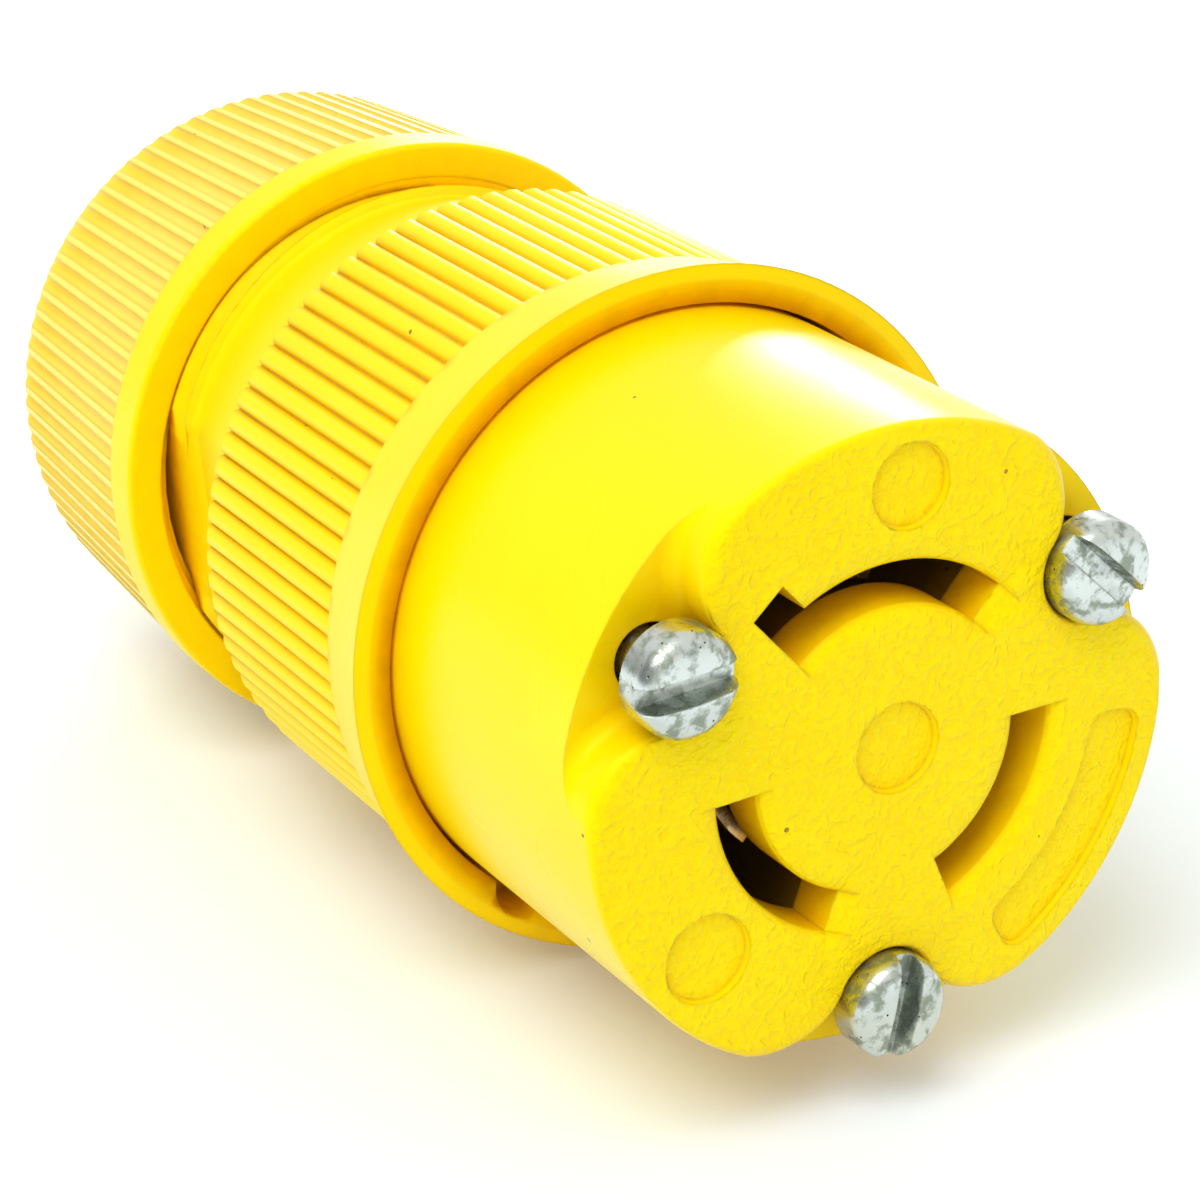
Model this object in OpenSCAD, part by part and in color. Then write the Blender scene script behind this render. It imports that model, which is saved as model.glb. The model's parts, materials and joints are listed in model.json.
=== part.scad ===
// Locking cord connector: three-pole female cord end with a ribbed housing and a cord nut.
// Stands on the rear of its nut, +Z towards the mating face, axis on the origin.

/* [Cord nut] */
// Length of the nut
nut_len = 21.1; // [19:0.1:24]
// Radius over the ribs at the rear of the nut
nut_rear_r = 18.15; // [17.9:0.05:18.6]
// Radius of the smooth band at the front of the nut
nut_band_r = 19.1; // [18.8:0.05:19.6]
// Length of the smooth band
nut_band_len = 3.1; // [2:0.1:5]
// Rounding of the rear edge of the nut
nut_rear_round = 2.7; // [1.5:0.1:3]
// Rounding of the front edge of the nut
nut_front_round = 0.3; // [0.2:0.1:1.2]
// Thickness of the wall at the rear of the nut
nut_back_t = 3; // [2:0.1:4]
// Radius of the hole for the cord
cord_hole_r = 8.75; // [6:0.05:10]
// Rounding of the cord hole at its outer edge
cord_hole_round = 0.8; // [0.3:0.1:1.5]
// Number of ribs round the nut
nut_ribs = 88; // [60:1:100]
// Depth of the grooves between the ribs of the nut
nut_groove_depth = 0.5; // [0.3:0.05:0.7]
// Radius of the round cutter of those grooves
nut_groove_r = 0.42; // [0.3:0.02:0.5]

/* [Cord grip] */
// Thickness of the slip washer
washer_t = 1.2; // [0.8:0.1:2]
// Hole radius of the slip washer
washer_hole_r = 8; // [6:0.1:9]
// Bore radius of the bushing
bushing_bore_r = 6.25; // [4:0.05:7]
// Radius of the bushing's small front end
bushing_nose_r = 10; // [8:0.1:11]
// Length of the bushing's cylinder
bushing_body_len = 17.6; // [14:0.1:19]
// Length of the bushing's cone
bushing_cone_len = 4.2; // [3:0.1:6]

/* [Neck] */
// Radius over the thread of the neck
neck_r = 16.8; // [16.2:0.05:17.2]
// Bore radius of the neck
neck_bore_r = 13.2; // [12:0.1:13.6]
// Length of the neck, up to its shoulder
neck_len = 15.6; // [14:0.1:18]
// Length of the relief behind the shoulder
relief_len = 1.3; // [0.8:0.1:2]
// Depth of the relief
relief_depth = 0.4; // [0.2:0.05:0.6]
// Distance from the axis to each of the two flats
flat_dist = 15.4; // [15:0.1:16.2]
// Length of the sloping shoulder
shoulder_len = 7.45; // [6:0.05:9]
// Radial fall of the flats below the shoulder's end
flat_drop = 1.15; // [0.8:0.05:1.4]
// Thread pitch of the neck and the nut
thread_pitch = 2.5; // [1.5:0.1:3]
// Turns that tighten the nut from its resting place
tighten_turns = 1.25; // [0.5:0.05:1.5]

/* [Housing] */
// Radius over the grip ribs
rib_tip_r = 19; // [18.6:0.05:19.5]
// Length of the ribbed grip
grip_len = 16.25; // [12:0.05:20]
// Number of grip ribs
grip_ribs = 84; // [60:1:96]
// Radius of each rib's round back
rib_r = 0.64; // [0.6:0.01:0.66]
// Wall under the grooves of the grip
grip_wall = 2.35; // [2:0.05:2.7]
// Outer radius of the flange
flange_r = 20; // [19.5:0.1:21]
// Length of the flange, from the grip to its front
flange_len = 5.13; // [4.5:0.01:7]
// Length of the bevel at the flange's outer edge
flange_bevel = 0.15; // [0.1:0.05:1]
// Radius of the ridge on the flange's front
ridge_r = 19.15; // [18.9:0.05:19.6]
// Fall of the front from the ridge to the cup
flange_dish = 0.25; // [0.1:0.05:0.5]
// Depth of the cup that takes the front body
cup_depth = 4.73; // [3.5:0.01:5]
// Bore radius of the housing's throat
throat_r = 10.4; // [9.8:0.1:11]
// Radius of the pry notch in the flange
notch_r = 1.9; // [1.2:0.1:2.2]
// Radius at which the notch is centred
notch_pcr = 17.2; // [16.8:0.1:17.6]
// Depth of the notch
notch_depth = 3.2; // [2:0.1:4]

/* [Front body] */
// Outer radius of the front body
body_r = 17.55; // [17:0.05:18]
// Length of the front body outside the housing
body_out = 20.37; // [16:0.01:24]
// Gap between the front body and the cup
cup_gap = 0.25; // [0.1:0.01:0.3]
// Rounding of the front edge
face_round = 0.6; // [0.3:0.1:0.8]
// Thickness of the face over the contact cavities
face_t = 3.45; // [3:0.05:4.5]
// Depth of the three screw recesses
recess_depth = 2.8; // [2:0.1:3]
// Radius of each recess round its screw
recess_nose_r = 2.95; // [2.9:0.05:3.3]
// Radius of the lobes' corners
lobe_corner_r = 4.5; // [3.5:0.1:5]

/* [Blade slots] */
// Inner radius of the slots
slot_in_r = 7.85; // [7.5:0.05:8.2]
// Width of the slots
slot_w = 2.3; // [2:0.05:2.6]
// Depth of the lead-in round the slots
lead_depth = 0.4; // [0.2:0.05:0.6]
// Outward reach of the lead-in
lead_out = 1.5; // [1:0.1:1.7]
// Inward reach of the lead-in
lead_in = 1.15; // [0.8:0.05:1.5]
// Angle that the lead-in runs past a slot's open end
lead_run = 9; // [6:0.5:10]
// Width of the hook notch in the keyed slot
hook_w = 2.3; // [2:0.1:2.6]
// Outward reach of the hook notch from the slot
hook_reach = 2; // [1.4:0.1:2.2]

/* [Contacts] */
// Thickness of the contact strip
strip_t = 0.7; // [0.5:0.05:0.8]
// Gap between a contact's two leaves
jaw_gap = 1.8; // [1.5:0.05:1.9]
// Length of the leaves
leaf_len = 14; // [10:0.1:15]
// Half of the angle that the leaves cover
leaf_half_angle = 17; // [12:0.5:19]
// Width of the tail and the foot
foot_w = 7.5; // [6:0.1:8]
// Radial length of the foot
foot_len = 6.5; // [6:0.1:6.9]
// Thickness of the foot
foot_t = 1; // [0.8:0.1:1.5]
// Radius at which the terminal screws stand
terminal_pcr = 11.8; // [11.4:0.1:12]
// Thickness of the clamp plates
clamp_t = 1.2; // [1:0.1:1.5]
// Head radius of the terminal screws
terminal_head_r = 3; // [2.6:0.1:3.2]
// Head height of the terminal screws
terminal_head_h = 2.1; // [1.6:0.1:2.4]

/* [Retainer] */
// Thickness of the retainer plate
retainer_t = 4; // [3.5:0.1:5]
// Gap between the retainer and the housing's bore
retainer_gap = 0.2; // [0.1:0.05:0.3]

/* [Assembly screws] */
// Thread radius of all the screws
screw_r = 1.75; // [1.6:0.01:1.9]
// Radius of the circle of assembly screws
screw_pcr = 14.4; // [14.2:0.05:14.4]
// Head radius
head_r = 2.87; // [2.6:0.01:2.9]
// Height of the head's straight side
head_h = 2; // [1.5:0.1:2.4]
// Rise of the head's round crown
crown_h = 0.7; // [0.4:0.05:0.9]
// Length of the screws under the head
screw_len = 34.9; // [30:0.1:36]
// Height of the heads above their seats, as the screws are slackened
backed_out = 2; // [0:0.05:3]
// Slot width of the heads
head_slot_w = 1.2; // [0.9:0.05:1.4]
// Slot depth of the heads
head_slot_depth = 1.3; // [0.8:0.05:1.6]
// Outer radius of the threaded inserts
insert_r = 2.6; // [2.4:0.05:2.8]
// Length of the threaded inserts
insert_len = 8; // [6:0.5:8]
// Radius of the bosses that hold the inserts
boss_r = 3.9; // [3.6:0.1:4.2]

/* [Hidden] */
$fn = 96;

// Clearances
run_gap = 0.1;      // between pieces that turn or slide on each other
thread_gap = 0.2;   // between the nut's thread and the neck's
bushing_gap = 0.2;  // round the bushing
screw_gap = 0.03;   // between a screw and its thread
hole_gap = 0.15;    // round a screw in a plain hole
over = 1;           // how far a cutter runs past the surface it cuts
arc_bite = 0.04;    // how far cuts of the face cross each other where they would just touch
lead_past = 0.5;    // angle from a slot's closed end to the end of its lead-in
tail_gap = 0.15;    // round a contact's tail in the retainer
tip_gap = 0.2;      // over the tip of a terminal screw
squeeze_room = 1.075;   // left between the washer and the neck when the nut is tight

// Small sizes of the forms
band_step = 0.15;       // the nut's smooth band stands this far outside the end of its ribs
band_step_len = 0.4;    // length of the slope up to the band
neck_chamfer = 0.6;     // where the neck's thread starts
groove_rise = 0.09;     // the grip's groove floors lie this far outside the ribs' centres
core_drop = 0.1;        // the housing's core ends this far below those floors
flange_step = 0.05;     // the flange's foot stands this far outside the ribs
flange_lip = 0.3;       // and this far where it starts to flare
flange_lip_len = 1.6;   // length of the flange up to its flare
throat_len = 1.6;       // straight length of the throat
chamber_step = 1.5;     // the wiring chamber's rear end is this much smaller than its bore
chamber_cone_len = 1.9; // length of the chamber's cone
boss_root = 1;          // the bosses start this far in front of the grip's rear
insert_well = 1.5;      // hole below the inserts for the ends of the screws
cavity_in = 1.45;       // a contact cavity reaches this far inside its slot
cavity_out = 1.05;      // and this far outside it
cavity_run = 6;         // and this angle past its ends
hook_room = 0.6;        // round the hook notch, behind the face
leaf_cover = 1.8;       // from the tips of the leaves to the top of their cavity
tail_shoulder = 1.6;    // the tail is this much narrower than the foot at each side
tip_cover = 1.3;        // from the tip of a terminal screw to the front of the retainer

// Directions of the pieces round the axis, in degrees
screw_angles = [90, 210, 330];
screw_slot_angles = [34, 167, 106];
contact_angles = [30, 150, 270];
slot_starts = [-12.8, 122.1, 232.4];
slot_ends = [72, 188.9, 300.5];
slot_runs_back = [true, false, false];
slot_runs_on = [false, true, false];
nut_groove_angle = 27.1;
grip_groove_angle = 74;
flat_angle = 124;
notch_angle = 174;

// Heights, from the rear of the nut to the mating face
tighten_travel = thread_pitch * tighten_turns;
washer_z = nut_back_t + run_gap;
bushing_z = washer_z + washer_t + run_gap;
neck_z = bushing_z + tighten_travel + squeeze_room;
shoulder_z = neck_z + neck_len;
grip_z = shoulder_z + shoulder_len;
flange_z = grip_z + grip_len;
flange_front_z = flange_z + flange_len;
seat_z = flange_front_z - cup_depth;
retainer_z = seat_z - retainer_t;
face_z = flange_front_z + body_out;
ledge_z = face_z - recess_depth;
cavity_top_z = face_z - face_t;
bushing_cone_z = bushing_z + bushing_body_len;
bushing_end_z = bushing_cone_z + bushing_cone_len;
throat_top_z = bushing_end_z + throat_len;
terminal_tip_z = seat_z - tip_cover;

// Radii
nut_bore_r = neck_r + thread_gap;
bushing_r = neck_bore_r - bushing_gap;
washer_r = nut_bore_r - 0.5;
rib_axis_r = rib_tip_r - rib_r;
groove_floor_r = rib_axis_r + groove_rise;
chamber_r = groove_floor_r - grip_wall;
cup_r = body_r + cup_gap;
slot_out_r = slot_in_r + slot_w;
slot_mid_r = slot_in_r + slot_w / 2;
cavity_in_r = slot_in_r - cavity_in;
cavity_out_r = slot_out_r + cavity_out;
screw_hole_r = screw_r + hole_gap;
thread_hole_r = screw_r + screw_gap;
tail_r = slot_mid_r - strip_t / 2;
shoulder_end_r = groove_floor_r - core_drop;

// A square that leaves a round of radius r at the corner (x, z); the body lies towards (-sx, -sz)
module corner_cut(x, z, r, sx, sz) {
    difference() {
        translate([sx > 0 ? x - r : x - over, sz > 0 ? z - r : z - over]) square(r + over);
        translate([x - sx * r, z - sz * r]) circle(r = r);
    }
}

// A ring sector between two radii and two angles, standing on z
module sector(r_in, r_out, z, h, a_from, a_to) {
    rotate([0, 0, a_from]) rotate_extrude(angle = a_to - a_from) translate([r_in, z]) square([r_out - r_in, h]);
}

// Ribs and grooves of the grip seen along the axis: round backs on a ring
module grip_section() {
    difference() {
        union() {
            circle(r = groove_floor_r);
            for (i = [0 : grip_ribs - 1]) {
                rotate([0, 0, grip_groove_angle + (i + 0.5) * 360 / grip_ribs])
                    translate([rib_axis_r, 0]) circle(r = rib_r, $fn = 24);
            }
        }
        circle(r = groove_floor_r - grip_wall / 2);
    }
}

// The ribbed ring, with each rib's rear end rounded off
module grip() {
    intersection() {
        translate([0, 0, grip_z]) linear_extrude(grip_len + 0.2) grip_section();
        rotate_extrude() difference() {
            translate([0, grip_z - over]) square([rib_tip_r + over, grip_len + 2 * over]);
            corner_cut(rib_tip_r, grip_z, rib_r, 1, -1);
        }
    }
}

// Outer form of the housing: threaded neck, shoulder, core of the grip and flange
module housing_outside() {
    rotate_extrude() polygon([
        [0, neck_z],
        [neck_r - neck_chamfer, neck_z],
        [neck_r, neck_z + neck_chamfer],
        [neck_r, shoulder_z - relief_len],
        [neck_r - relief_depth, shoulder_z - relief_len + relief_depth / 2],
        [neck_r - relief_depth, shoulder_z],
        [shoulder_end_r, grip_z],
        [shoulder_end_r, flange_z],
        [rib_tip_r + flange_step, flange_z],
        [rib_tip_r + flange_lip, flange_z + flange_lip_len],
        [flange_r, flange_front_z - flange_bevel],
        [ridge_r, flange_front_z],
        [cup_r, flange_front_z - flange_dish],
        [0, flange_front_z - flange_dish]
    ]);
}

// Inner form of the housing: neck bore, seat of the bushing, throat, wiring chamber and cup
module housing_inside() {
    rotate_extrude() polygon([
        [0, neck_z - over],
        [neck_bore_r, neck_z - over],
        [neck_bore_r, bushing_cone_z],
        [throat_r, bushing_end_z],
        [throat_r, throat_top_z],
        [chamber_r - chamber_step, grip_z],
        [chamber_r, grip_z + chamber_cone_len],
        [chamber_r, seat_z],
        [cup_r, seat_z],
        [cup_r, flange_front_z + over],
        [0, flange_front_z + over]
    ]);
}

// One flat beside the thread, running up the shoulder to the ribs
module neck_flat() {
    translate([0, neck_r + over, 0]) rotate([90, 0, 0]) linear_extrude(2 * (neck_r + over)) polygon([
        [flat_dist, neck_z - over],
        [flat_dist, shoulder_z + relief_depth],
        [shoulder_end_r - flat_drop, grip_z],
        [rib_tip_r + 4, grip_z],
        [rib_tip_r + 4, neck_z - over]
    ]);
}

// Posts in the wiring chamber that hold the threaded inserts
module insert_bosses() {
    intersection() {
        for (a = screw_angles) {
            rotate([0, 0, a]) translate([screw_pcr, 0, grip_z + boss_root])
                cylinder(r = boss_r, h = retainer_z - grip_z - boss_root);
        }
        translate([0, 0, grip_z]) cylinder(r = chamber_r + grip_wall / 4, h = grip_len);
    }
}

module housing() color("gold") {
    difference() {
        union() {
            difference() {
                housing_outside();
                housing_inside();
            }
            grip();
            insert_bosses();
        }
        for (a = [flat_angle, flat_angle + 180]) {
            rotate([0, 0, a]) neck_flat();
        }
        for (a = screw_angles) {
            rotate([0, 0, a]) translate([screw_pcr, 0, retainer_z - insert_len])
                cylinder(r = insert_r, h = insert_len + over);
            rotate([0, 0, a]) translate([screw_pcr, 0, retainer_z - insert_len - insert_well])
                cylinder(r = screw_hole_r, h = seat_z - retainer_z + insert_len + insert_well + over);
        }
        rotate([0, 0, notch_angle]) translate([notch_pcr, 0, flange_front_z - notch_depth])
            cylinder(r = notch_r, h = notch_depth + over);
    }
}

module screw_insert(i) color("goldenrod") {
    rotate([0, 0, screw_angles[i]]) translate([screw_pcr, 0, retainer_z - insert_len]) difference() {
        cylinder(r = insert_r, h = insert_len);
        translate([0, 0, -over]) cylinder(r = thread_hole_r, h = insert_len + 2 * over);
    }
}

// Outer form of the nut: ribbed taper, smooth band, both edges rounded
module nut_outside() {
    rotate_extrude() difference() {
        polygon([
            [0, 0],
            [nut_rear_r, 0],
            [nut_rear_r, nut_rear_round],
            [nut_band_r - band_step, nut_len - nut_band_len],
            [nut_band_r, nut_len - nut_band_len + band_step_len],
            [nut_band_r, nut_len],
            [0, nut_len]
        ]);
        corner_cut(nut_rear_r, 0, nut_rear_round, 1, -1);
        corner_cut(nut_band_r, nut_len, nut_front_round, 1, 1);
    }
}

// Inner form of the nut: cord hole with a rounded mouth, and the threaded bore
module nut_inside() {
    rotate_extrude() union() {
        translate([0, -over]) square([cord_hole_r, nut_len]);
        difference() {
            translate([0, -over]) square([cord_hole_r + cord_hole_round, cord_hole_round + over]);
            translate([cord_hole_r + cord_hole_round, cord_hole_round]) circle(r = cord_hole_round);
        }
        translate([0, nut_back_t]) square([nut_bore_r, nut_len]);
    }
}

// Grooves between the nut's ribs, following its taper
module nut_grooves() {
    taper = atan((nut_band_r - band_step - nut_rear_r) / (nut_len - nut_band_len - nut_rear_round));
    axis_r = nut_rear_r - nut_groove_depth + nut_groove_r;
    for (i = [0 : nut_ribs - 1]) {
        rotate([0, 0, nut_groove_angle + i * 360 / nut_ribs]) translate([axis_r, 0, nut_rear_round])
            rotate([0, taper, 0]) translate([0, 0, -nut_rear_round - over])
            cylinder(r = nut_groove_r, h = nut_len - nut_band_len + over, $fn = 24);
    }
}

module cord_nut() color("gold") {
    difference() {
        nut_outside();
        nut_inside();
        nut_grooves();
    }
}

module slip_washer() color("silver") {
    translate([0, 0, washer_z]) difference() {
        cylinder(r = washer_r, h = washer_t);
        translate([0, 0, -over]) cylinder(r = washer_hole_r, h = washer_t + 2 * over);
    }
}

// Rubber bushing: a cylinder with a cone that the housing's seat squeezes onto the cord
module cord_bushing() color("dimgray") {
    rotate_extrude() polygon([
        [bushing_bore_r, bushing_z],
        [bushing_r, bushing_z],
        [bushing_r, bushing_cone_z],
        [bushing_nose_r, bushing_end_z - bushing_gap],
        [bushing_bore_r, bushing_end_z - bushing_gap]
    ]);
}

// Plate that closes the contact cavities, with holes for the screws and the contacts' tails
module contact_retainer() color("dimgray") {
    difference() {
        translate([0, 0, retainer_z]) cylinder(r = chamber_r - retainer_gap, h = retainer_t);
        for (a = screw_angles) {
            rotate([0, 0, a]) translate([screw_pcr, 0, retainer_z - over])
                cylinder(r = screw_hole_r, h = retainer_t + 2 * over);
        }
        for (a = contact_angles) {
            rotate([0, 0, a]) translate([terminal_pcr, 0, retainer_z - over])
                cylinder(r = screw_hole_r, h = terminal_tip_z - retainer_z + over + tip_gap);
            rotate([0, 0, a]) translate([tail_r - tail_gap, -foot_w / 2 - tail_gap, retainer_z - over])
                cube([strip_t + 2 * tail_gap, foot_w + 2 * tail_gap, retainer_t + 2 * over]);
        }
    }
}

// Brass contact: two curved leaves on a web, a tail through the retainer, and a foot for the wire
module contact(a) color("goldenrod") {
    web_z = cavity_top_z - leaf_cover - leaf_len;
    jaw_in = slot_mid_r - jaw_gap / 2;
    jaw_out = slot_mid_r + jaw_gap / 2;
    difference() {
        union() {
            sector(jaw_in - strip_t, jaw_in, web_z, leaf_len, a - leaf_half_angle, a + leaf_half_angle);
            sector(jaw_out, jaw_out + strip_t, web_z, leaf_len, a - leaf_half_angle, a + leaf_half_angle);
            sector(jaw_in - strip_t / 2, jaw_out + strip_t / 2, web_z, strip_t,
                   a - leaf_half_angle, a + leaf_half_angle);
            rotate([0, 0, a]) translate([tail_r, -foot_w / 2 + tail_shoulder, retainer_z - foot_t])
                cube([strip_t, foot_w - 2 * tail_shoulder, web_z + strip_t / 2 - retainer_z + foot_t]);
            rotate([0, 0, a]) translate([tail_r, -foot_w / 2, retainer_z - foot_t])
                cube([foot_len, foot_w, foot_t]);
        }
        rotate([0, 0, a]) translate([terminal_pcr, 0, retainer_z - foot_t - over])
            cylinder(r = thread_hole_r, h = foot_t + 2 * over);
    }
}

// Pressure plate between a terminal screw and its contact's foot
module terminal_clamp(a) color("silver") {
    rotate([0, 0, a]) translate([0, 0, retainer_z - foot_t - clamp_t]) difference() {
        translate([tail_r, -foot_w / 2, 0]) cube([foot_len, foot_w, clamp_t]);
        translate([terminal_pcr, 0, -over]) cylinder(r = screw_hole_r, h = clamp_t + 2 * over);
    }
}

module terminal_screw(a) color("silver") {
    head_z = retainer_z - foot_t - clamp_t - terminal_head_h;
    rotate([0, 0, a]) translate([terminal_pcr, 0, head_z]) difference() {
        union() {
            cylinder(r = terminal_head_r, h = terminal_head_h);
            cylinder(r = screw_r, h = terminal_tip_z - head_z);
        }
        translate([-terminal_head_r - over, -head_slot_w / 2, -over])
            cube([2 * (terminal_head_r + over), head_slot_w, over + head_slot_depth]);
    }
}

// Distance of the lobe corners' centres from the axis, and their angle from a recess: each corner
// blends into the outer circle and into the round nose of the recess, crossing both by a hair
corner_pcr = body_r - lobe_corner_r + arc_bite;
corner_angle = acos((corner_pcr ^ 2 + screw_pcr ^ 2 - (lobe_corner_r + recess_nose_r - arc_bite) ^ 2)
                    / (2 * corner_pcr * screw_pcr));

// Outline of one screw recess, with its screw on the x axis
module recess_outline() {
    reach = body_r + 2 * over;
    difference() {
        union() {
            translate([screw_pcr, 0]) circle(r = recess_nose_r);
            polygon([
                [screw_pcr, 0],
                [corner_pcr * cos(corner_angle), corner_pcr * sin(corner_angle)],
                [reach * cos(corner_angle), reach * sin(corner_angle)],
                [reach * 1.3, 0],
                [reach * cos(corner_angle), -reach * sin(corner_angle)],
                [corner_pcr * cos(corner_angle), -corner_pcr * sin(corner_angle)]
            ]);
        }
        for (s = [-1, 1]) {
            rotate([0, 0, s * corner_angle]) translate([corner_pcr, 0]) circle(r = lobe_corner_r);
        }
    }
}

// Keeps the plastic under the ramp at a lead-in's open end; turn is 1 past a slot's end, -1 before its start
module lead_ramp(angle, turn) {
    rise = atan(lead_depth / (slot_mid_r * lead_run * PI / 180));
    rotate([0, 0, angle]) mirror([0, turn < 0 ? 1 : 0, 0])
        translate([0, slot_mid_r * lead_past * PI / 180, face_z - lead_depth])
        rotate([rise, 0, 0]) translate([0, 0, -over]) cube([body_r, body_r, over]);
}

// Shallow lead-in round one slot, with a ramp up to the face past its open end
module lead(i) {
    a_from = slot_starts[i] - (slot_runs_back[i] ? lead_run : lead_past);
    a_to = slot_ends[i] + (slot_runs_on[i] ? lead_run : lead_past);
    difference() {
        rotate([0, 0, a_from]) rotate_extrude(angle = a_to - a_from) polygon([
            [slot_in_r - lead_in, face_z],
            [slot_in_r + arc_bite, face_z - lead_depth],
            [slot_out_r - arc_bite, face_z - lead_depth],
            [slot_out_r + lead_out, face_z],
            [slot_out_r + lead_out, face_z + over],
            [slot_in_r - lead_in, face_z + over]
        ]);
        if (slot_runs_back[i]) lead_ramp(slot_starts[i], -1);
        if (slot_runs_on[i]) lead_ramp(slot_ends[i], 1);
    }
}

// Outward notch at the keyed slot's end, for the hook of the mating blade
module hook_notch(z, h, widen) {
    rotate([0, 0, slot_ends[0]]) translate([slot_mid_r, -hook_w - widen, z])
        cube([slot_w / 2 + hook_reach + widen, hook_w + 2 * widen - arc_bite, h]);
}

module front_body() color("gold") {
    difference() {
        rotate_extrude() difference() {
            translate([0, seat_z]) square([body_r, face_z - seat_z]);
            corner_cut(body_r, face_z, face_round, 1, 1);
        }
        for (a = screw_angles) {
            rotate([0, 0, a]) translate([0, 0, ledge_z]) linear_extrude(recess_depth + over) recess_outline();
            rotate([0, 0, a]) translate([screw_pcr, 0, seat_z - over])
                cylinder(r = screw_hole_r, h = face_z - seat_z);
        }
        for (i = [0 : 2]) {
            sector(slot_in_r, slot_out_r, cavity_top_z - over, face_t + 2 * over, slot_starts[i], slot_ends[i]);
            sector(cavity_in_r, cavity_out_r, seat_z - over, cavity_top_z - seat_z + over,
                   slot_starts[i] - cavity_run, slot_ends[i] + cavity_run);
            lead(i);
        }
        hook_notch(cavity_top_z - over, face_t + 2 * over, 0);
        hook_notch(seat_z - over, cavity_top_z - seat_z + over, hook_room);
    }
}

// Slotted screw with a cylindrical head and a low round crown
module assembly_screw(i) color("silver") {
    crown_r = (head_r ^ 2 + crown_h ^ 2) / (2 * crown_h);
    rotate([0, 0, screw_angles[i]]) translate([screw_pcr, 0, ledge_z + backed_out]) difference() {
        union() {
            translate([0, 0, -screw_len]) cylinder(r = screw_r, h = screw_len + head_h / 2);
            intersection() {
                cylinder(r = head_r, h = head_h + crown_h);
                translate([0, 0, head_h + crown_h - crown_r]) sphere(r = crown_r);
            }
        }
        rotate([0, 0, screw_slot_angles[i]])
            translate([-head_r - over, -head_slot_w / 2, head_h + crown_h - head_slot_depth])
            cube([2 * (head_r + over), head_slot_w, head_slot_depth + over]);
    }
}

cord_nut();
slip_washer();
cord_bushing();
housing();
screw_insert(0);  // screw_insert_1
screw_insert(1);  // screw_insert_2
screw_insert(2);  // screw_insert_3
contact_retainer();
contact(contact_angles[0]);  // contact_1
contact(contact_angles[1]);  // contact_2
contact(contact_angles[2]);  // contact_3
terminal_clamp(contact_angles[0]);  // terminal_clamp_1
terminal_clamp(contact_angles[1]);  // terminal_clamp_2
terminal_clamp(contact_angles[2]);  // terminal_clamp_3
terminal_screw(contact_angles[0]);  // terminal_screw_1
terminal_screw(contact_angles[1]);  // terminal_screw_2
terminal_screw(contact_angles[2]);  // terminal_screw_3
front_body();
assembly_screw(0);  // assembly_screw_1
assembly_screw(1);  // assembly_screw_2
assembly_screw(2);  // assembly_screw_3
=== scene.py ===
# %% [markdown]
# # A yellow cord connector, lying on a white table
#
# The connector was made first as exact solids: a cord nut, a ribbed housing, a front body with three
# curved blade slots, and what they hold. This script dresses those solids. Everything is in metres,
# in the frame of the solids: the rear of the nut at z = 0, the mating face at the top.

# %% Load the solids
import json
import math

import bmesh
import bpy
from mathutils import Matrix, Vector


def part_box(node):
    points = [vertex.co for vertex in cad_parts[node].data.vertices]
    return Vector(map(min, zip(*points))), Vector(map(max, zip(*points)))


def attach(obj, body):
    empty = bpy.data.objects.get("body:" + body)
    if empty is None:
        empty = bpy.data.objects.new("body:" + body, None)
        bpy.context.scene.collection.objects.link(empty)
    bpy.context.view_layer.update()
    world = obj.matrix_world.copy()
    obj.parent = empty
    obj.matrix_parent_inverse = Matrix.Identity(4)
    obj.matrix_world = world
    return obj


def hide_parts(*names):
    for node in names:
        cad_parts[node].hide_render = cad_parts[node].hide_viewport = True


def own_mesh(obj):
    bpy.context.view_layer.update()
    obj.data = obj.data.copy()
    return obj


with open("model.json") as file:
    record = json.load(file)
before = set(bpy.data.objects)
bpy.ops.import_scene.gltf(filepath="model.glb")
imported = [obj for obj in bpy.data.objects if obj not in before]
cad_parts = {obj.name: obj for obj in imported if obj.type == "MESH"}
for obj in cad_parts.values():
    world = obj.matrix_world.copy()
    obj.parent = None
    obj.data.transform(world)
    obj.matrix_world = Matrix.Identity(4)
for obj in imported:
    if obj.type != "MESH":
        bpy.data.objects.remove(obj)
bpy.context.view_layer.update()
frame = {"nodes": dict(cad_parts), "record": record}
nodes = frame["nodes"]

# %% [markdown]
# The few sizes that the dressing needs could be typed in again. They are read from the solids
# instead, so that the dressing still fits after a size in the source has changed. The others are
# named where they are first needed, in millimetres times MM.

# %% Sizes read from the solids
MM = 0.001


def top(name):
    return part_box(name)[1].z


def foot(name):
    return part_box(name)[0].z


face_z = top("front_body")
seat_z = foot("front_body")
body_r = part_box("front_body")[1].y
flange_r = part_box("housing")[1].x
flange_z = top("housing")
neck_z = foot("housing")
nut_len = top("cord_nut")
nut_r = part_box("cord_nut")[1].x
print(f"face at {face_z / MM:.2f} mm, flange radius {flange_r / MM:.2f} mm, nut radius {nut_r / MM:.2f} mm")

# %% [markdown]
# ## The view
#
# The connector lies on its side on a table: the flange and the band of the nut touch it. The camera
# stands upright over that table, so the direction away from the table is its upward direction. It
# is aimed by two points, where it stands and what it looks at, which are easier to read and to change
# than three turning angles.

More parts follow.
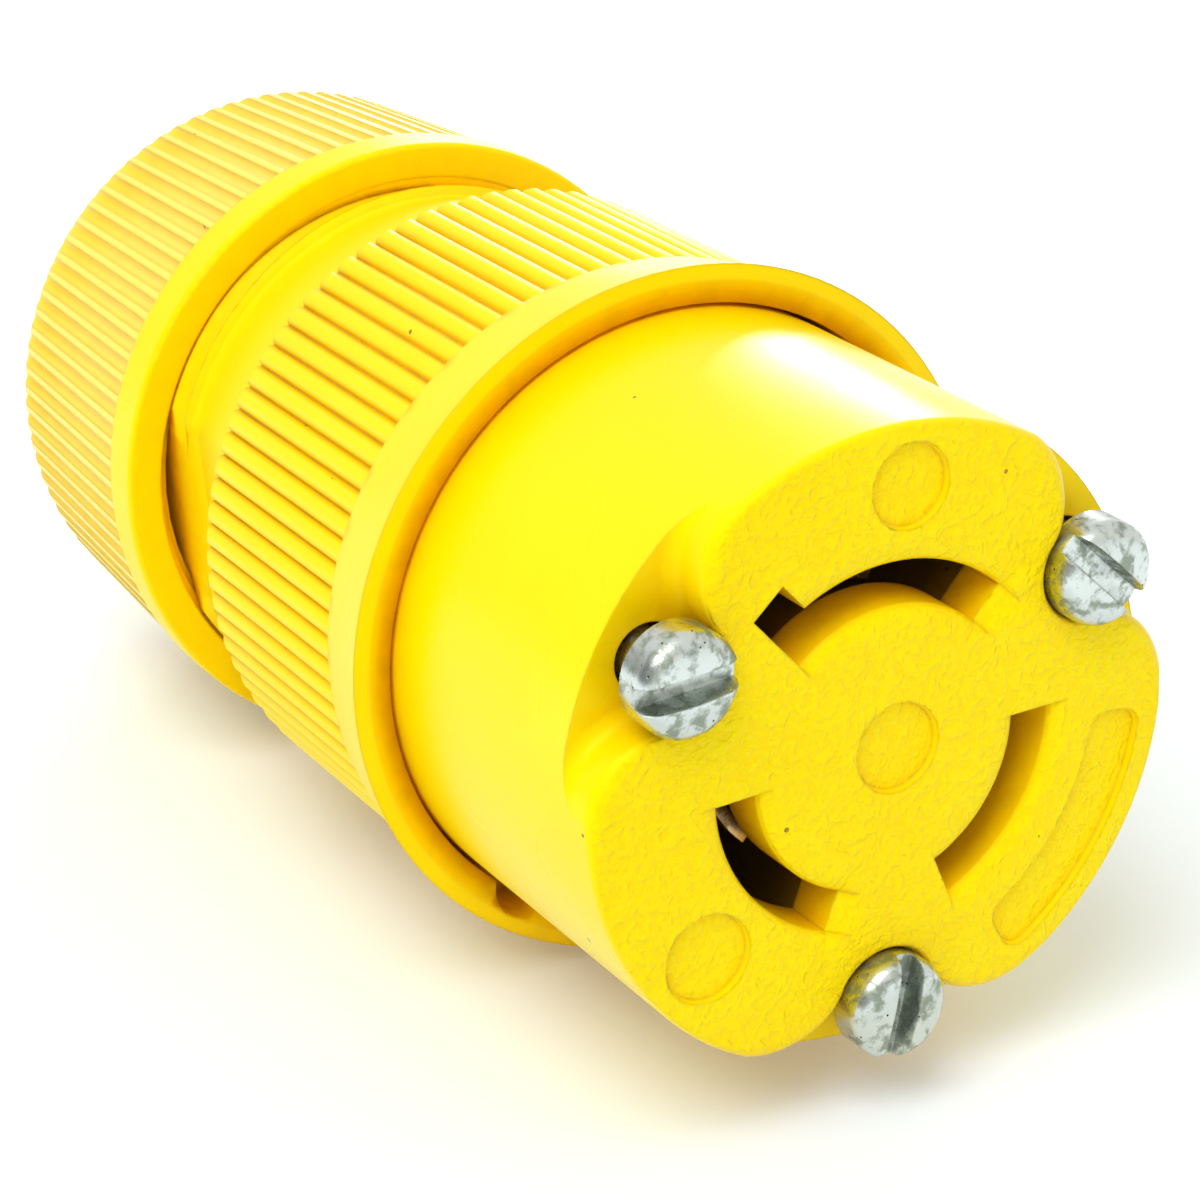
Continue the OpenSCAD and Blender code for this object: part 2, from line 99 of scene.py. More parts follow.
# %% Table and camera
TABLE_UP_ANGLE = math.radians(28.54)        # direction away from the table, seen along the connector
NUT_CONTACT_Z = nut_len - 2.7 * MM          # the rear edge of the nut's band
FLANGE_CONTACT_Z = flange_z - 0.15 * MM     # the widest place of the flange
CAMERA_AT = Vector((21.56, 118.42, 204.93)) * MM
CAMERA_AIM = Vector((-1.84, -0.55, 45.0)) * MM
SENSOR_WIDTH = 36
FOCAL_LENGTH = 105.37                       # in the same unit as the sensor

outward = Vector((math.cos(TABLE_UP_ANGLE), math.sin(TABLE_UP_ANGLE), 0))
flange_contact = -outward * flange_r + Vector((0, 0, FLANGE_CONTACT_Z))
nut_contact = -outward * nut_r + Vector((0, 0, NUT_CONTACT_Z))
along_table = (flange_contact - nut_contact).normalized()
across_table = along_table.cross(outward).normalized()
table_up = across_table.cross(along_table).normalized()


def look(at, aim, up):
    """Matrix of a camera or lamp at one point that looks at another, with its top towards up."""
    back = (at - aim).normalized()
    right = up.cross(back).normalized()
    facing = Matrix((right, back.cross(right), back)).transposed().to_4x4()
    return Matrix.Translation(at) @ facing


camera_data = bpy.data.cameras.new("camera")
camera_data.sensor_width = SENSOR_WIDTH
camera_data.lens = FOCAL_LENGTH
camera_data.clip_start = 0.01
camera = bpy.data.objects.new("camera", camera_data)
camera.matrix_world = look(CAMERA_AT, CAMERA_AIM, outward)
bpy.context.scene.collection.objects.link(camera)
bpy.context.scene.camera = camera
print("the table leans", round(math.degrees(math.asin(table_up.z)), 2), "degrees to the connector's axis")

# %% [markdown]
# ## Materials
#
# Every finish is built from nodes. They could be placed by hand in the editor; in code each helper
# adds one kind of node and links it, so that a material reads from top to bottom like a recipe.
# Patterns follow the Object coordinates. All pieces lie at the origin, so a pattern keeps its real
# size, and its place, on each of them.

# %% Helpers for nodes
def link(tree, source, socket):
    """Puts a socket's output, a number or a colour on an input socket."""
    if hasattr(source, "is_output"):
        tree.links.new(source, socket)
    elif source is not None:
        socket.default_value = source


def node(tree, kind, inputs=None, **settings):
    """One node with its settings and its inputs by name or number."""
    made = tree.nodes.new(kind)
    for key, value in settings.items():
        setattr(made, key, value)
    for key, value in (inputs or {}).items():
        link(tree, value, made.inputs[key])
    return made


def maths(tree, operation, a, b):
    return node(tree, "ShaderNodeMath", {0: a, 1: b}, operation=operation).outputs[0]


def vector_maths(tree, operation, a, b=(0, 0, 0)):
    """A product is a vector; a length, a distance and a dot product are numbers."""
    made = node(tree, "ShaderNodeVectorMath", {0: a, 1: b}, operation=operation)
    return made.outputs["Vector" if operation == "MULTIPLY" else "Value"]


def height_of(tree, vector):
    return node(tree, "ShaderNodeSeparateXYZ", {0: vector}).outputs["Z"]


def ramp(tree, value, low, high, low_to=0.0, high_to=1.0):
    """Maps low to low_to and high to high_to on a smooth curve, and holds there outside."""
    inputs = {0: value, 1: low, 2: high, 3: low_to, 4: high_to}
    return node(tree, "ShaderNodeMapRange", inputs, interpolation_type="SMOOTHSTEP").outputs[0]


# %% Helpers for patterns and colours
def per_metre(tree, millimetres):
    """Scale of a pattern whose marks are that many millimetres apart."""
    return maths(tree, "DIVIDE", 1 / MM, millimetres)


def noise(tree, place, scale, detail=2.0, roughness=0.5, distortion=0.0):
    return node(tree, "ShaderNodeTexNoise", {"Vector": place, "Scale": scale, "Detail": detail,
                "Roughness": roughness, "Distortion": distortion}).outputs[0]


def lay_over(tree, tone, colour, mask, share=1.0):
    """Lays a colour over a tone, as strongly as a mask times a share says."""
    strength = maths(tree, "MULTIPLY", mask, share)
    return node(tree, "ShaderNodeMix", {0: strength, 6: tone, 7: colour}, data_type="RGBA").outputs[2]


def bumped(tree, height, depth, normal, strength=1.0):
    """The normal of a surface that has a relief of that depth."""
    inputs = {"Height": height, "Distance": depth, "Normal": normal, "Strength": strength}
    return node(tree, "ShaderNodeBump", inputs).outputs[0]


# %% [markdown]
# ## Shared effects
#
# A moulding, a plated screw and a brass contact all have a grain, worn edges and dirt in their
# corners. An effect could be copied into each material. Here it is a node group instead, built once
# and placed in each material with its own sizes. A group gives only masks, heights and normals, and
# the shader stays in the material, so that the finished material can also be exported.

# %% Helpers for groups
FLOAT, VECTOR = "NodeSocketFloat", "NodeSocketVector"


def new_group(name, inputs, outputs):
    """An empty node group; returns its tree, the sockets it is given and the sockets it fills."""
    tree = bpy.data.node_groups.new(name, "ShaderNodeTree")
    for title, kind, value in inputs:
        socket = tree.interface.new_socket(title, in_out="INPUT", socket_type=kind)
        if value is not None:
            socket.default_value = value
    for title, kind in outputs:
        tree.interface.new_socket(title, in_out="OUTPUT", socket_type=kind)
    print("effect:", name)
    return tree, tree.nodes.new("NodeGroupInput").outputs, tree.nodes.new("NodeGroupOutput").inputs


def use_group(tree, group, inputs):
    """Places a group in a tree and returns its outputs."""
    made = tree.nodes.new("ShaderNodeGroup")
    made.node_tree = group
    for key, value in inputs.items():
        link(tree, value, made.inputs[key])
    return made.outputs


# %% [markdown]
# Moulded plastic is never quite flat. It has a fine grain from the tool, and it sinks a little over
# thick places while it cools. Two noises of different size give both, as a height for the bump and
# as a shade for the colour.

# %% Effect: moulded skin
SINK_SIZE = 9 * MM

skin_group, given, result = new_group(
    "moulded skin",
    [("Place", VECTOR, None), ("Grain size", FLOAT, 0.5), ("Waviness", FLOAT, 0.5)],
    [("Height", FLOAT), ("Shade", FLOAT)],
)
grain = noise(skin_group, given["Place"], per_metre(skin_group, given["Grain size"]), detail=3)
sink = noise(skin_group, given["Place"], 1 / SINK_SIZE, detail=1)
waves = maths(skin_group, "MULTIPLY", sink, given["Waviness"])
link(skin_group, maths(skin_group, "ADD", grain, waves), result["Height"])
link(skin_group, ramp(skin_group, sink, 0.3, 0.7), result["Shade"])

# %% [markdown]
# The mating face has the mottled look of an etched mould: small worms, a tenth of a millimetre
# high. As geometry they would need a million faces, so they are relief in the material. Two twisted
# noises are added, a fine one and a coarse one, because a single one repeats too evenly.

# %% Effect: mottled mould
FINE_SHARE = 0.4

mottle_group, given, result = new_group(
    "mottled mould",
    [("Place", VECTOR, None), ("Fine size", FLOAT, 0.3), ("Coarse size", FLOAT, 0.8)],
    [("Height", FLOAT)],
)
fine_scale = per_metre(mottle_group, given["Fine size"])
coarse_scale = per_metre(mottle_group, given["Coarse size"])
fine = noise(mottle_group, given["Place"], fine_scale, detail=2, distortion=0.8)
coarse = noise(mottle_group, given["Place"], coarse_scale, detail=1, distortion=1.6)
fine_worms = ramp(mottle_group, fine, 0.3, 0.7, 0, FINE_SHARE)
coarse_worms = ramp(mottle_group, coarse, 0.3, 0.7, 0, 1 - FINE_SHARE)
link(mottle_group, maths(mottle_group, "ADD", fine_worms, coarse_worms), result["Height"])

# %% [markdown]
# Handling rounds the edges and bleaches them. The edges could be painted by hand, but a Bevel node
# finds them on any mesh: where its rounded normal leaves the true one there is an edge. A noise
# breaks the wear into patches, because no edge wears evenly. On the nylon the pale laid on these
# patches is partly wear and partly a painted highlight along the edges.

# %% Effect: worn edges
wear_group, given, result = new_group(
    "worn edges",
    [("Place", VECTOR, None), ("Width", FLOAT, 0.3 * MM), ("Patch size", FLOAT, 2.0)],
    [("Normal", VECTOR), ("Edge patches", FLOAT)],
)
rounded = node(wear_group, "ShaderNodeBevel", {"Radius": given["Width"]}, samples=2).outputs[0]
true_normal = node(wear_group, "ShaderNodeNewGeometry").outputs["Normal"]
agreement = vector_maths(wear_group, "DOT_PRODUCT", rounded, true_normal)
patches = noise(wear_group, given["Place"], per_metre(wear_group, given["Patch size"]), detail=3)
on_edges = ramp(wear_group, agreement, 0.99, 0.86)
in_patches = ramp(wear_group, patches, 0.4, 0.6)
link(wear_group, rounded, result["Normal"])
link(wear_group, maths(wear_group, "MULTIPLY", on_edges, in_patches), result["Edge patches"])

# %% [markdown]
# Grooves and corners get painted shade, a deeper colour as strong as a place is shut in, and darker
# blots there as well. Ambient occlusion tells how shut in a place is. It is only scaled here and
# never sent through a curve, so that few samples give the same average as many.

# %% Effect: crevices
BLOT_SIZE = 1.5 * MM

crevice_group, given, result = new_group(
    "crevices",
    [("Place", VECTOR, None), ("Reach", FLOAT, 5 * MM)],
    [("Painted shade", FLOAT), ("Dark blots", FLOAT)],
)
occlusion = node(crevice_group, "ShaderNodeAmbientOcclusion", {"Distance": given["Reach"]}, samples=2)
shut = maths(crevice_group, "SUBTRACT", 1.0, occlusion.outputs["AO"])
blots = ramp(crevice_group, noise(crevice_group, given["Place"], 1 / BLOT_SIZE, detail=4), 0.4, 0.65)
# Painted shade, as strong as the place is shut in; the blots below darken the same places.
link(crevice_group, shut, result["Painted shade"])
link(crevice_group, maths(crevice_group, "MULTIPLY", shut, blots), result["Dark blots"])

# %% [markdown]
# The yellow holds a few dark specks, and the zinc has small pits. Cells of a Voronoi texture spread
# them without lines or clumps, one to a cell, and a small noise makes their outlines uneven.

# %% Effect: specks
OUTLINE_SIZE = 0.15 * MM
OUTLINE_WOBBLE = 0.06 * MM
OUTLINE_BLUR = 0.03 * MM

speck_group, given, result = new_group(
    "specks",
    [("Place", VECTOR, None), ("Spacing", FLOAT, 5 * MM), ("Speck size", FLOAT, 0.13 * MM)],
    [("Specks", FLOAT)],
)
cell_scale = maths(speck_group, "DIVIDE", 1.0, given["Spacing"])
cells = node(speck_group, "ShaderNodeTexVoronoi", {"Vector": given["Place"], "Scale": cell_scale})
from_middle = maths(speck_group, "MULTIPLY", cells.outputs["Distance"], given["Spacing"])
uneven = noise(speck_group, given["Place"], 1 / OUTLINE_SIZE)
wobble = maths(speck_group, "MULTIPLY", uneven, OUTLINE_WOBBLE)
outline = maths(speck_group, "ADD", given["Speck size"], wobble)
past_outline = maths(speck_group, "SUBTRACT", from_middle, outline)
link(speck_group, ramp(speck_group, past_outline, OUTLINE_BLUR, 0.0), result["Specks"])

# %% [markdown]
# ## Yellow nylon
#
# The mouldings are one bright yellow. Shade is painted into it, deeper in corners and dark far
# inside the slots; a painted glare pales the backs of the nut's ribs, and the face is mottled. That
# could be one material for each look; here one recipe makes three versions, and what differs goes in
# as a mask. The masks are worked out from the place on the piece, so no texture has to be painted.

# %% Masks from the place on the piece
HOOK_END_R = 12.2 * MM                       # how far the slots reach from the axis
RIM_REACH = 1.2 * MM                         # of the worn rim, below the face
SLOT_DARK_DEPTH = 7 * MM


def from_axis(tree, place):
    """Distance of the surface from the connector's axis."""
    return vector_maths(tree, "LENGTH", vector_maths(tree, "MULTIPLY", place, (1, 1, 0)))


def shade_in_the_slots(tree, place):
    """Mask of the painted shade in the slots: grows with the depth below the face in the middle of the body,
    where the slots are; 0 on its side.
    """
    inside = ramp(tree, from_axis(tree, place), HOOK_END_R + 2 * MM, HOOK_END_R + 1 * MM)
    depth = ramp(tree, height_of(tree, place), face_z - RIM_REACH, face_z - SLOT_DARK_DEPTH)
    return maths(tree, "MULTIPLY", depth, inside)


def on_the_face(tree, place):
    """1 on the flat mating face, 0 on the sides of the body and below."""
    lean = height_of(tree, node(tree, "ShaderNodeTexCoord").outputs["Normal"])
    upper = ramp(tree, height_of(tree, place), face_z - RIM_REACH, face_z - RIM_REACH / 2)
    return maths(tree, "MULTIPLY", upper, ramp(tree, lean, 0.55, 0.95))


def glare_on_the_grip(tree, place):
    """Mask of the painted glare: 1 on the backs of the nut's ribs, 0 in the grooves and on its band."""
    below_band = ramp(tree, height_of(tree, place), nut_len - 2.8 * MM, nut_len - 3.4 * MM)
    backs = ramp(tree, from_axis(tree, place), nut_r - 1.6 * MM, nut_r - 0.9 * MM)
    return maths(tree, "MULTIPLY", backs, below_band)


# %% Helpers for materials
def new_material(name):
    """An empty material; returns it with its tree and the Object coordinates."""
    made = bpy.data.materials.new(name)
    made.use_nodes = True
    made.node_tree.nodes.clear()
    place = node(made.node_tree, "ShaderNodeTexCoord").outputs["Object"]
    print("material:", name)
    return made, made.node_tree, place


def finish_material(tree, sockets):
    """Adds the shader, with its sockets filled."""
    shader = node(tree, "ShaderNodeBsdfPrincipled", sockets)
    node(tree, "ShaderNodeOutputMaterial", {"Surface": shader.outputs[0]})


# %% Colours of the nylon, and how strongly they are laid on
YELLOW = (1.0, 0.78, 0.0, 1.0)
YELLOW_ORANGE = (1.0, 0.56, 0.0, 1.0)          # painted shade in corners and grooves and in the valleys of the mottling; also a random tone
YELLOW_SLOT_SHADE = (0.20, 0.12, 0.015, 1.0)       # painted shade far inside the slots
YELLOW_PALE = (1.0, 0.86, 0.28, 1.0)         # painted glare on the backs of the nut's ribs; on edges, wear and a painted highlight
YELLOW_TINT = (1.0, 0.80, 0.1, 1.0)          # of reflections seen straight on
# A dark brown for the specks, and for the darker blots in shut-in places.
DARK_BROWN = (0.16, 0.09, 0.02, 1.0)
SINK_SHARE = 0.12
RIB_GLARE_SHARE = 0.45
EDGE_WEAR_AND_HIGHLIGHT_SHARE = 0.12
DARK_BLOT_SHARE = 0.12
SPECK_SHARE = 0.85
MOTTLE_SHADE_SHARE = 0.2
print("yellow", YELLOW[:3], "deepens to", YELLOW_ORANGE[:3])


# %% Recipe of the nylon
MOTTLE_DEPTH = 0.09 * MM
MOTTLE_ROUGHER = 0.12                        # than the smooth sides


def yellow_nylon(name, gloss, edge, mottle=None, pale=None, deep=None):
    """The moulding material; mottle, pale and deep are functions that give masks: for the mottled face, for
    a painted glare and for painted shade.
    """
    made, tree, place = new_material(name)
    skin = use_group(tree, skin_group, {"Place": place, "Grain size": 0.4, "Waviness": 0.4})
    worn = use_group(tree, wear_group, {"Place": place, "Width": edge, "Patch size": 1.5})
    crevices = use_group(tree, crevice_group, {"Place": place, "Reach": 8 * MM})
    specks = use_group(tree, speck_group, {"Place": place, "Spacing": 5 * MM, "Speck size": 0.1 * MM})
    # Painted shade: the deeper orange, as strong as the place is shut in.
    tone = lay_over(tree, YELLOW, YELLOW_ORANGE, crevices["Painted shade"])
    tone = lay_over(tree, tone, YELLOW_ORANGE, skin["Shade"], SINK_SHARE)
    if pale:
        # Painted glare on the backs of the nut's ribs.
        tone = lay_over(tree, tone, YELLOW_PALE, pale(tree, place), RIB_GLARE_SHARE)
    # Edges: wear, and a painted highlight along them.
    tone = lay_over(tree, tone, YELLOW_PALE, worn["Edge patches"], EDGE_WEAR_AND_HIGHLIGHT_SHARE)
    # Darker blots where the place is shut in.
    tone = lay_over(tree, tone, DARK_BROWN, crevices["Dark blots"], DARK_BLOT_SHARE)
    if deep:
        # Painted shade far inside the slots.
        tone = lay_over(tree, tone, YELLOW_SLOT_SHADE, deep(tree, place))
    tone = lay_over(tree, tone, DARK_BROWN, specks["Specks"], SPECK_SHARE)
    normal = bumped(tree, skin["Height"], 0.01 * MM, worn["Normal"], 0.5)
    roughness = gloss
    if mottle:
        mould = use_group(tree, mottle_group, {"Place": place, "Fine size": 0.4, "Coarse size": 1.1})
        on_face = mottle(tree, place)
        relief = maths(tree, "MULTIPLY", mould["Height"], on_face)
        # Painted shade in the valleys of the mottled relief.
        shaded_valleys = maths(tree, "MULTIPLY", ramp(tree, relief, 0.55, 0.25), on_face)
        tone = lay_over(tree, tone, YELLOW_ORANGE, shaded_valleys, MOTTLE_SHADE_SHARE)
        normal = bumped(tree, relief, MOTTLE_DEPTH, normal)
        roughness = ramp(tree, on_face, 0, 1, gloss, gloss + MOTTLE_ROUGHER)
    roughness = maths(tree, "ADD", roughness, maths(tree, "MULTIPLY", skin["Shade"], 0.06))
    finish_material(tree, {"Base Color": tone, "Roughness": roughness, "IOR": 1.5,
                           "Specular IOR Level": 0.35, "Specular Tint": YELLOW_TINT, "Normal": normal})
    return made


# %% Three versions of the nylon
yellow = yellow_nylon("yellow nylon", 0.36, 0.3 * MM)
yellow_face = yellow_nylon("yellow nylon with a mottled face", 0.26, 0.25 * MM, mottle=on_the_face,
                           deep=shade_in_the_slots)
yellow_grip = yellow_nylon("yellow nylon with painted glare on the ribs", 0.36, 0.3 * MM, pale=glare_on_the_grip)

# %% [markdown]
# ## Zinc plate and brass
#
# The screws have lost their even plating: bright patches lie between dull grey ones, with pits and
# fine scratches all over. One noise decides where the metal is dull, and the same mask drives its
# colour and its roughness, because on real zinc the two go together. Brass is the same recipe in
# other colours and with larger, softer patches.

# %% Effect: weathered metal
PIT_SIZE = 0.02 * MM
SCRATCH_SIZE = 1.2 * MM
SCRATCH_STRETCH = 14                         # so many times longer than wide

metal_group, given, result = new_group(
    "weathered metal",
    [("Place", VECTOR, None), ("Patch size", FLOAT, 0.8), ("Pit spacing", FLOAT, 0.55 * MM)],
    [("Dull", FLOAT), ("Pits", FLOAT), ("Height", FLOAT)],
)
patch_scale = per_metre(metal_group, given["Patch size"])
dull = noise(metal_group, given["Place"], patch_scale, detail=4, roughness=0.6, distortion=0.25)
pits = use_group(metal_group, speck_group, {"Place": given["Place"], "Spacing": given["Pit spacing"],
                                            "Speck size": PIT_SIZE})["Specks"]
stretched = vector_maths(metal_group, "MULTIPLY", given["Place"], (1, SCRATCH_STRETCH, 1))
scratches = noise(metal_group, stretched, 1 / SCRATCH_SIZE, detail=3)
height = maths(metal_group, "ADD", maths(metal_group, "MULTIPLY", dull, 0.5),
               maths(metal_group, "MULTIPLY", scratches, 0.35))
link(metal_group, ramp(metal_group, dull, 0.45, 0.63), result["Dull"])
link(metal_group, pits, result["Pits"])
link(metal_group, maths(metal_group, "SUBTRACT", height, pits), result["Height"])

# %% Recipe of the metals
ZINC = (0.60, 0.64, 0.59, 1)
ZINC_DULL = (0.29, 0.33, 0.26, 1)
BRASS = (0.83, 0.62, 0.29, 1)
BRASS_DULL = (0.42, 0.28, 0.11, 1)
PIT = (0.03, 0.03, 0.025, 1)
PIT_SPACING = 0.8 * MM


def weathered_metal(name, bright, dull, gloss, dullness, patch_size, edge):
    """Metal from bright to dull; gloss and dullness are the roughness of each."""
    made, tree, place = new_material(name)
    surface = use_group(tree, metal_group, {"Place": place, "Patch size": patch_size,
                                            "Pit spacing": PIT_SPACING})
    worn = use_group(tree, wear_group, {"Place": place, "Width": edge, "Patch size": 0.6})
    crevices = use_group(tree, crevice_group, {"Place": place, "Reach": 1.5 * MM})
    kept = maths(tree, "MULTIPLY", surface["Dull"], maths(tree, "SUBTRACT", 1.0, worn["Edge patches"]))
    tone = lay_over(tree, bright, dull, kept)
    # Darker blots where the metal is shut in.
    tone = lay_over(tree, tone, PIT, crevices["Dark blots"], 0.6)
    tone = lay_over(tree, tone, PIT, surface["Pits"])
    finish_material(tree, {"Base Color": tone, "Metallic": ramp(tree, surface["Pits"], 0, 1, 1.0, 0.2),
                           "Roughness": ramp(tree, kept, 0, 1, gloss, dullness),
                           "Normal": bumped(tree, surface["Height"], 0.015 * MM, worn["Normal"], 0.7)})
    return made


zinc = weathered_metal("zinc plate", ZINC, ZINC_DULL, 0.24, 0.5, 0.9, 0.12 * MM)
brass = weathered_metal("brass", BRASS, BRASS_DULL, 0.22, 0.42, 2.5, 0.1 * MM)

# %% [markdown]
# ## Rubber and dark moulding
#
# The bushing is grey rubber and the plate that carries the contacts a dark thermoset. Both are dark
# and only their grain, their gloss and their scuffed edges tell them apart, so one short recipe
# takes those as numbers.

# %% Recipe of the dark mouldings
RUBBER, RUBBER_SCUFFED = (0.030, 0.030, 0.033, 1), (0.10, 0.10, 0.10, 1)
DARK, DARK_SCUFFED = (0.020, 0.017, 0.015, 1), (0.07, 0.06, 0.05, 1)


def moulded_finish(name, colour, scuffed, roughness, grain_size, depth):
    made, tree, place = new_material(name)
    skin = use_group(tree, skin_group, {"Place": place, "Grain size": grain_size, "Waviness": 0.6})
    worn = use_group(tree, wear_group, {"Place": place, "Width": 0.2 * MM, "Patch size": 1.0})
    tone = lay_over(tree, colour, scuffed, worn["Edge patches"], 0.6)
    tone = lay_over(tree, tone, scuffed, skin["Shade"], 0.25)
    finish_material(tree, {"Base Color": tone,
                           "Normal": bumped(tree, skin["Height"], depth, worn["Normal"], 0.6),
                           "Roughness": ramp(tree, skin["Shade"], 0, 1, roughness, roughness + 0.12)})
    return made


rubber = moulded_finish("grey rubber", RUBBER, RUBBER_SCUFFED, 0.6, 0.25, 0.02 * MM)
dark_moulding = moulded_finish("dark moulding", DARK, DARK_SCUFFED, 0.42, 0.6, 0.015 * MM)

# %% [markdown]
# The solids came with one plain colour for each of their slots. Each keeps its mesh and gets the
# finish of its slot here; the nut and the front body get their own versions of the nylon.

# %% Dress the solids
FINISH_OF_SLOT = {"yellow_nylon": yellow, "zinc_steel": zinc, "brass": brass, "grey_rubber": rubber,
                  "dark_plastic": dark_moulding}
FINISH_OF_NODE = {"cord_nut": yellow_grip, "front_body": yellow_face}
for part in frame["record"]["subparts"]:
    for slot in nodes[part["node"]].material_slots:
        slot.material = FINISH_OF_NODE.get(part["node"], FINISH_OF_SLOT[part["material_slot"]])
print(f"{len(bpy.data.materials)} materials share {len(bpy.data.node_groups)} effects")

# %% [markdown]
# ## Building pieces
#
# A piece starts as a bmesh: a ready shape, or a small profile that is spun round an axis. It could be
# pushed and pulled into its form from there. This connector was cut and turned by machines, so solid
# is taken away with booleans instead, as a toolmaker cuts a mould. The helpers put every finished
# mesh at the origin and keep flat faces flat in the shading.

# %% Helpers for objects
def new_piece(name, shape, finish):
    """Makes an object at the origin from a bmesh, which it frees."""
    bmesh.ops.recalc_face_normals(shape, faces=shape.faces)
    mesh = bpy.data.meshes.new(name)
    shape.to_mesh(mesh)
    shape.free()
    mesh.materials.append(finish)
    made = bpy.data.objects.new(name, mesh)
    bpy.context.scene.collection.objects.link(made)
    return made


def apply_modifiers(piece):
    """Keeps the mesh that the modifiers make, in place of the modifiers."""
    bpy.context.view_layer.update()
    ready = piece.evaluated_get(bpy.context.evaluated_depsgraph_get())
    piece.data = bpy.data.meshes.new_from_object(ready)
    piece.modifiers.clear()


# %% Helpers for cuts
def in_triangles(piece):
    """Splits every face into triangles, because a cut through a large face can turn parts of it over."""
    shape = bmesh.new()
    shape.from_mesh(piece.data)
    bmesh.ops.triangulate(shape, faces=shape.faces, quad_method="BEAUTY", ngon_method="BEAUTY")
    shape.to_mesh(piece.data)
    shape.free()


def carve(piece, shape, operation="DIFFERENCE"):
    """Cuts a bmesh from a piece, or joins it."""
    cutter = new_piece("cutter", shape, piece.data.materials[0])
    in_triangles(piece)
    in_triangles(cutter)
    step = piece.modifiers.new("carve", "BOOLEAN")
    step.operation = operation
    step.solver = "MANIFOLD"
    step.object = cutter
    apply_modifiers(piece)
    bpy.data.objects.remove(cutter)


# %% Helpers for shading and counting
def shade(piece, angle=35):
    """Smooth shading with crisp edges above an angle, and flat faces that stay flat."""
    in_triangles(piece)
    for face in piece.data.polygons:
        face.use_smooth = True
    piece.data.set_sharp_from_angle(angle=math.radians(angle))
    step = piece.modifiers.new("flat faces stay flat", "WEIGHTED_NORMAL")
    step.keep_sharp = True
    apply_modifiers(piece)


def count(piece):
    """Prints how many faces a piece has, and whether its surface is closed."""
    shape = bmesh.new()
    shape.from_mesh(piece.data)
    open_edges = sum(1 for edge in shape.edges if not edge.is_manifold)
    print(f"{piece.name}: {len(shape.faces)} faces, {open_edges} open edges")
    shape.free()


def hand_in(piece, body, slot, *replaced):
    """Says which body carries a piece and which solids it stands for; its slot is not used."""
    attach(piece, body)
    if replaced:
        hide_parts(*replaced)
    count(piece)


# %% Helpers for round shapes
MERGE = 0.0005 * MM                          # points nearer to each other than this become one


def rod(shape, radius, z_from, z_to, at=(0, 0), segments=64, radius_to=None):
    """Adds an upright cylinder, or a cone, to a bmesh."""
    middle = Matrix.Translation((at[0], at[1], (z_from + z_to) / 2))
    bmesh.ops.create_cone(shape, cap_ends=True, segments=segments, radius1=radius,
                          radius2=radius_to or radius, depth=z_to - z_from, matrix=middle)


def spun(shape, outline, start=0.0, angle=360.0, steps=96, rise=0.0):
    """Spins an outline of (radius, z) points round the z axis, with an even rise where one is given."""
    corners = [shape.verts.new((radius, 0, z)) for radius, z in outline]
    to_start = Matrix.Rotation(math.radians(start), 3, "Z")
    bmesh.ops.rotate(shape, verts=corners, cent=(0, 0, 0), matrix=to_start)
    full = angle == 360 and rise == 0
    if full:
        parts = [shape.edges.new(pair) for pair in zip(corners, corners[1:] + corners[:1])]
    else:
        parts = [shape.faces.new(corners)]
        parts += parts[0].edges
    bmesh.ops.spin(shape, geom=parts + corners, cent=(0, 0, 0), axis=(0, 0, 1), dvec=(0, 0, rise / steps),
                   angle=math.radians(angle), steps=steps, use_merge=full)
    if full:
        bmesh.ops.remove_doubles(shape, verts=shape.verts, dist=MERGE)
    return shape


def polar(radius, degrees):
    return (radius * math.cos(math.radians(degrees)), radius * math.sin(math.radians(degrees)))


def turned(shape, degrees):
    """Turns a bmesh round the connector's axis."""
    bmesh.ops.rotate(shape, verts=shape.verts, cent=(0, 0, 0),
                     matrix=Matrix.Rotation(math.radians(degrees), 3, "Z"))
    return shape


# %% [markdown]
# ## The front body
#
# The front body is one moulding. Its rim is worn soft, and each of the three recesses round the
# screws runs into its walls in a hollow. A bevel on the finished body would trip over the slots, so
# the order is the toolmaker's: the blank is cut by recess cutters whose lower edges are rounded, the
# rim of the blank is bevelled while its face is still one plain polygon, and only then do the
# slots, with their soft lips, go through.

# %% Cutter of a screw recess
RECESS_DEPTH = 2.8 * MM
RECESS_NOSE_R = 2.95 * MM
LOBE_CORNER_R = 4.5 * MM
SCREW_CIRCLE_R = 14.4 * MM
CORNER_CIRCLE_R = 13.09 * MM
CORNER_ANGLE = 30.8
HOLLOW_R = 0.9 * MM                          # between the floor of a recess and its walls
NEAR = 0.02 * MM                             # heights this close count as the same
ledge_z = face_z - RECESS_DEPTH


def level_edge(edge, height):
    """True for an edge at that height where two faces meet at an angle."""
    level = all(abs(v.co.z - height) < NEAR for v in edge.verts)
    return level and edge.calc_face_angle(0) > math.radians(20)


def arc(centre, radius, start, stop, steps):
    """Points on an arc, as (x, y), with both ends."""
    turns = [start + (stop - start) * i / steps for i in range(steps + 1)]
    return [(centre[0] + polar(radius, t)[0], centre[1] + polar(radius, t)[1]) for t in turns]


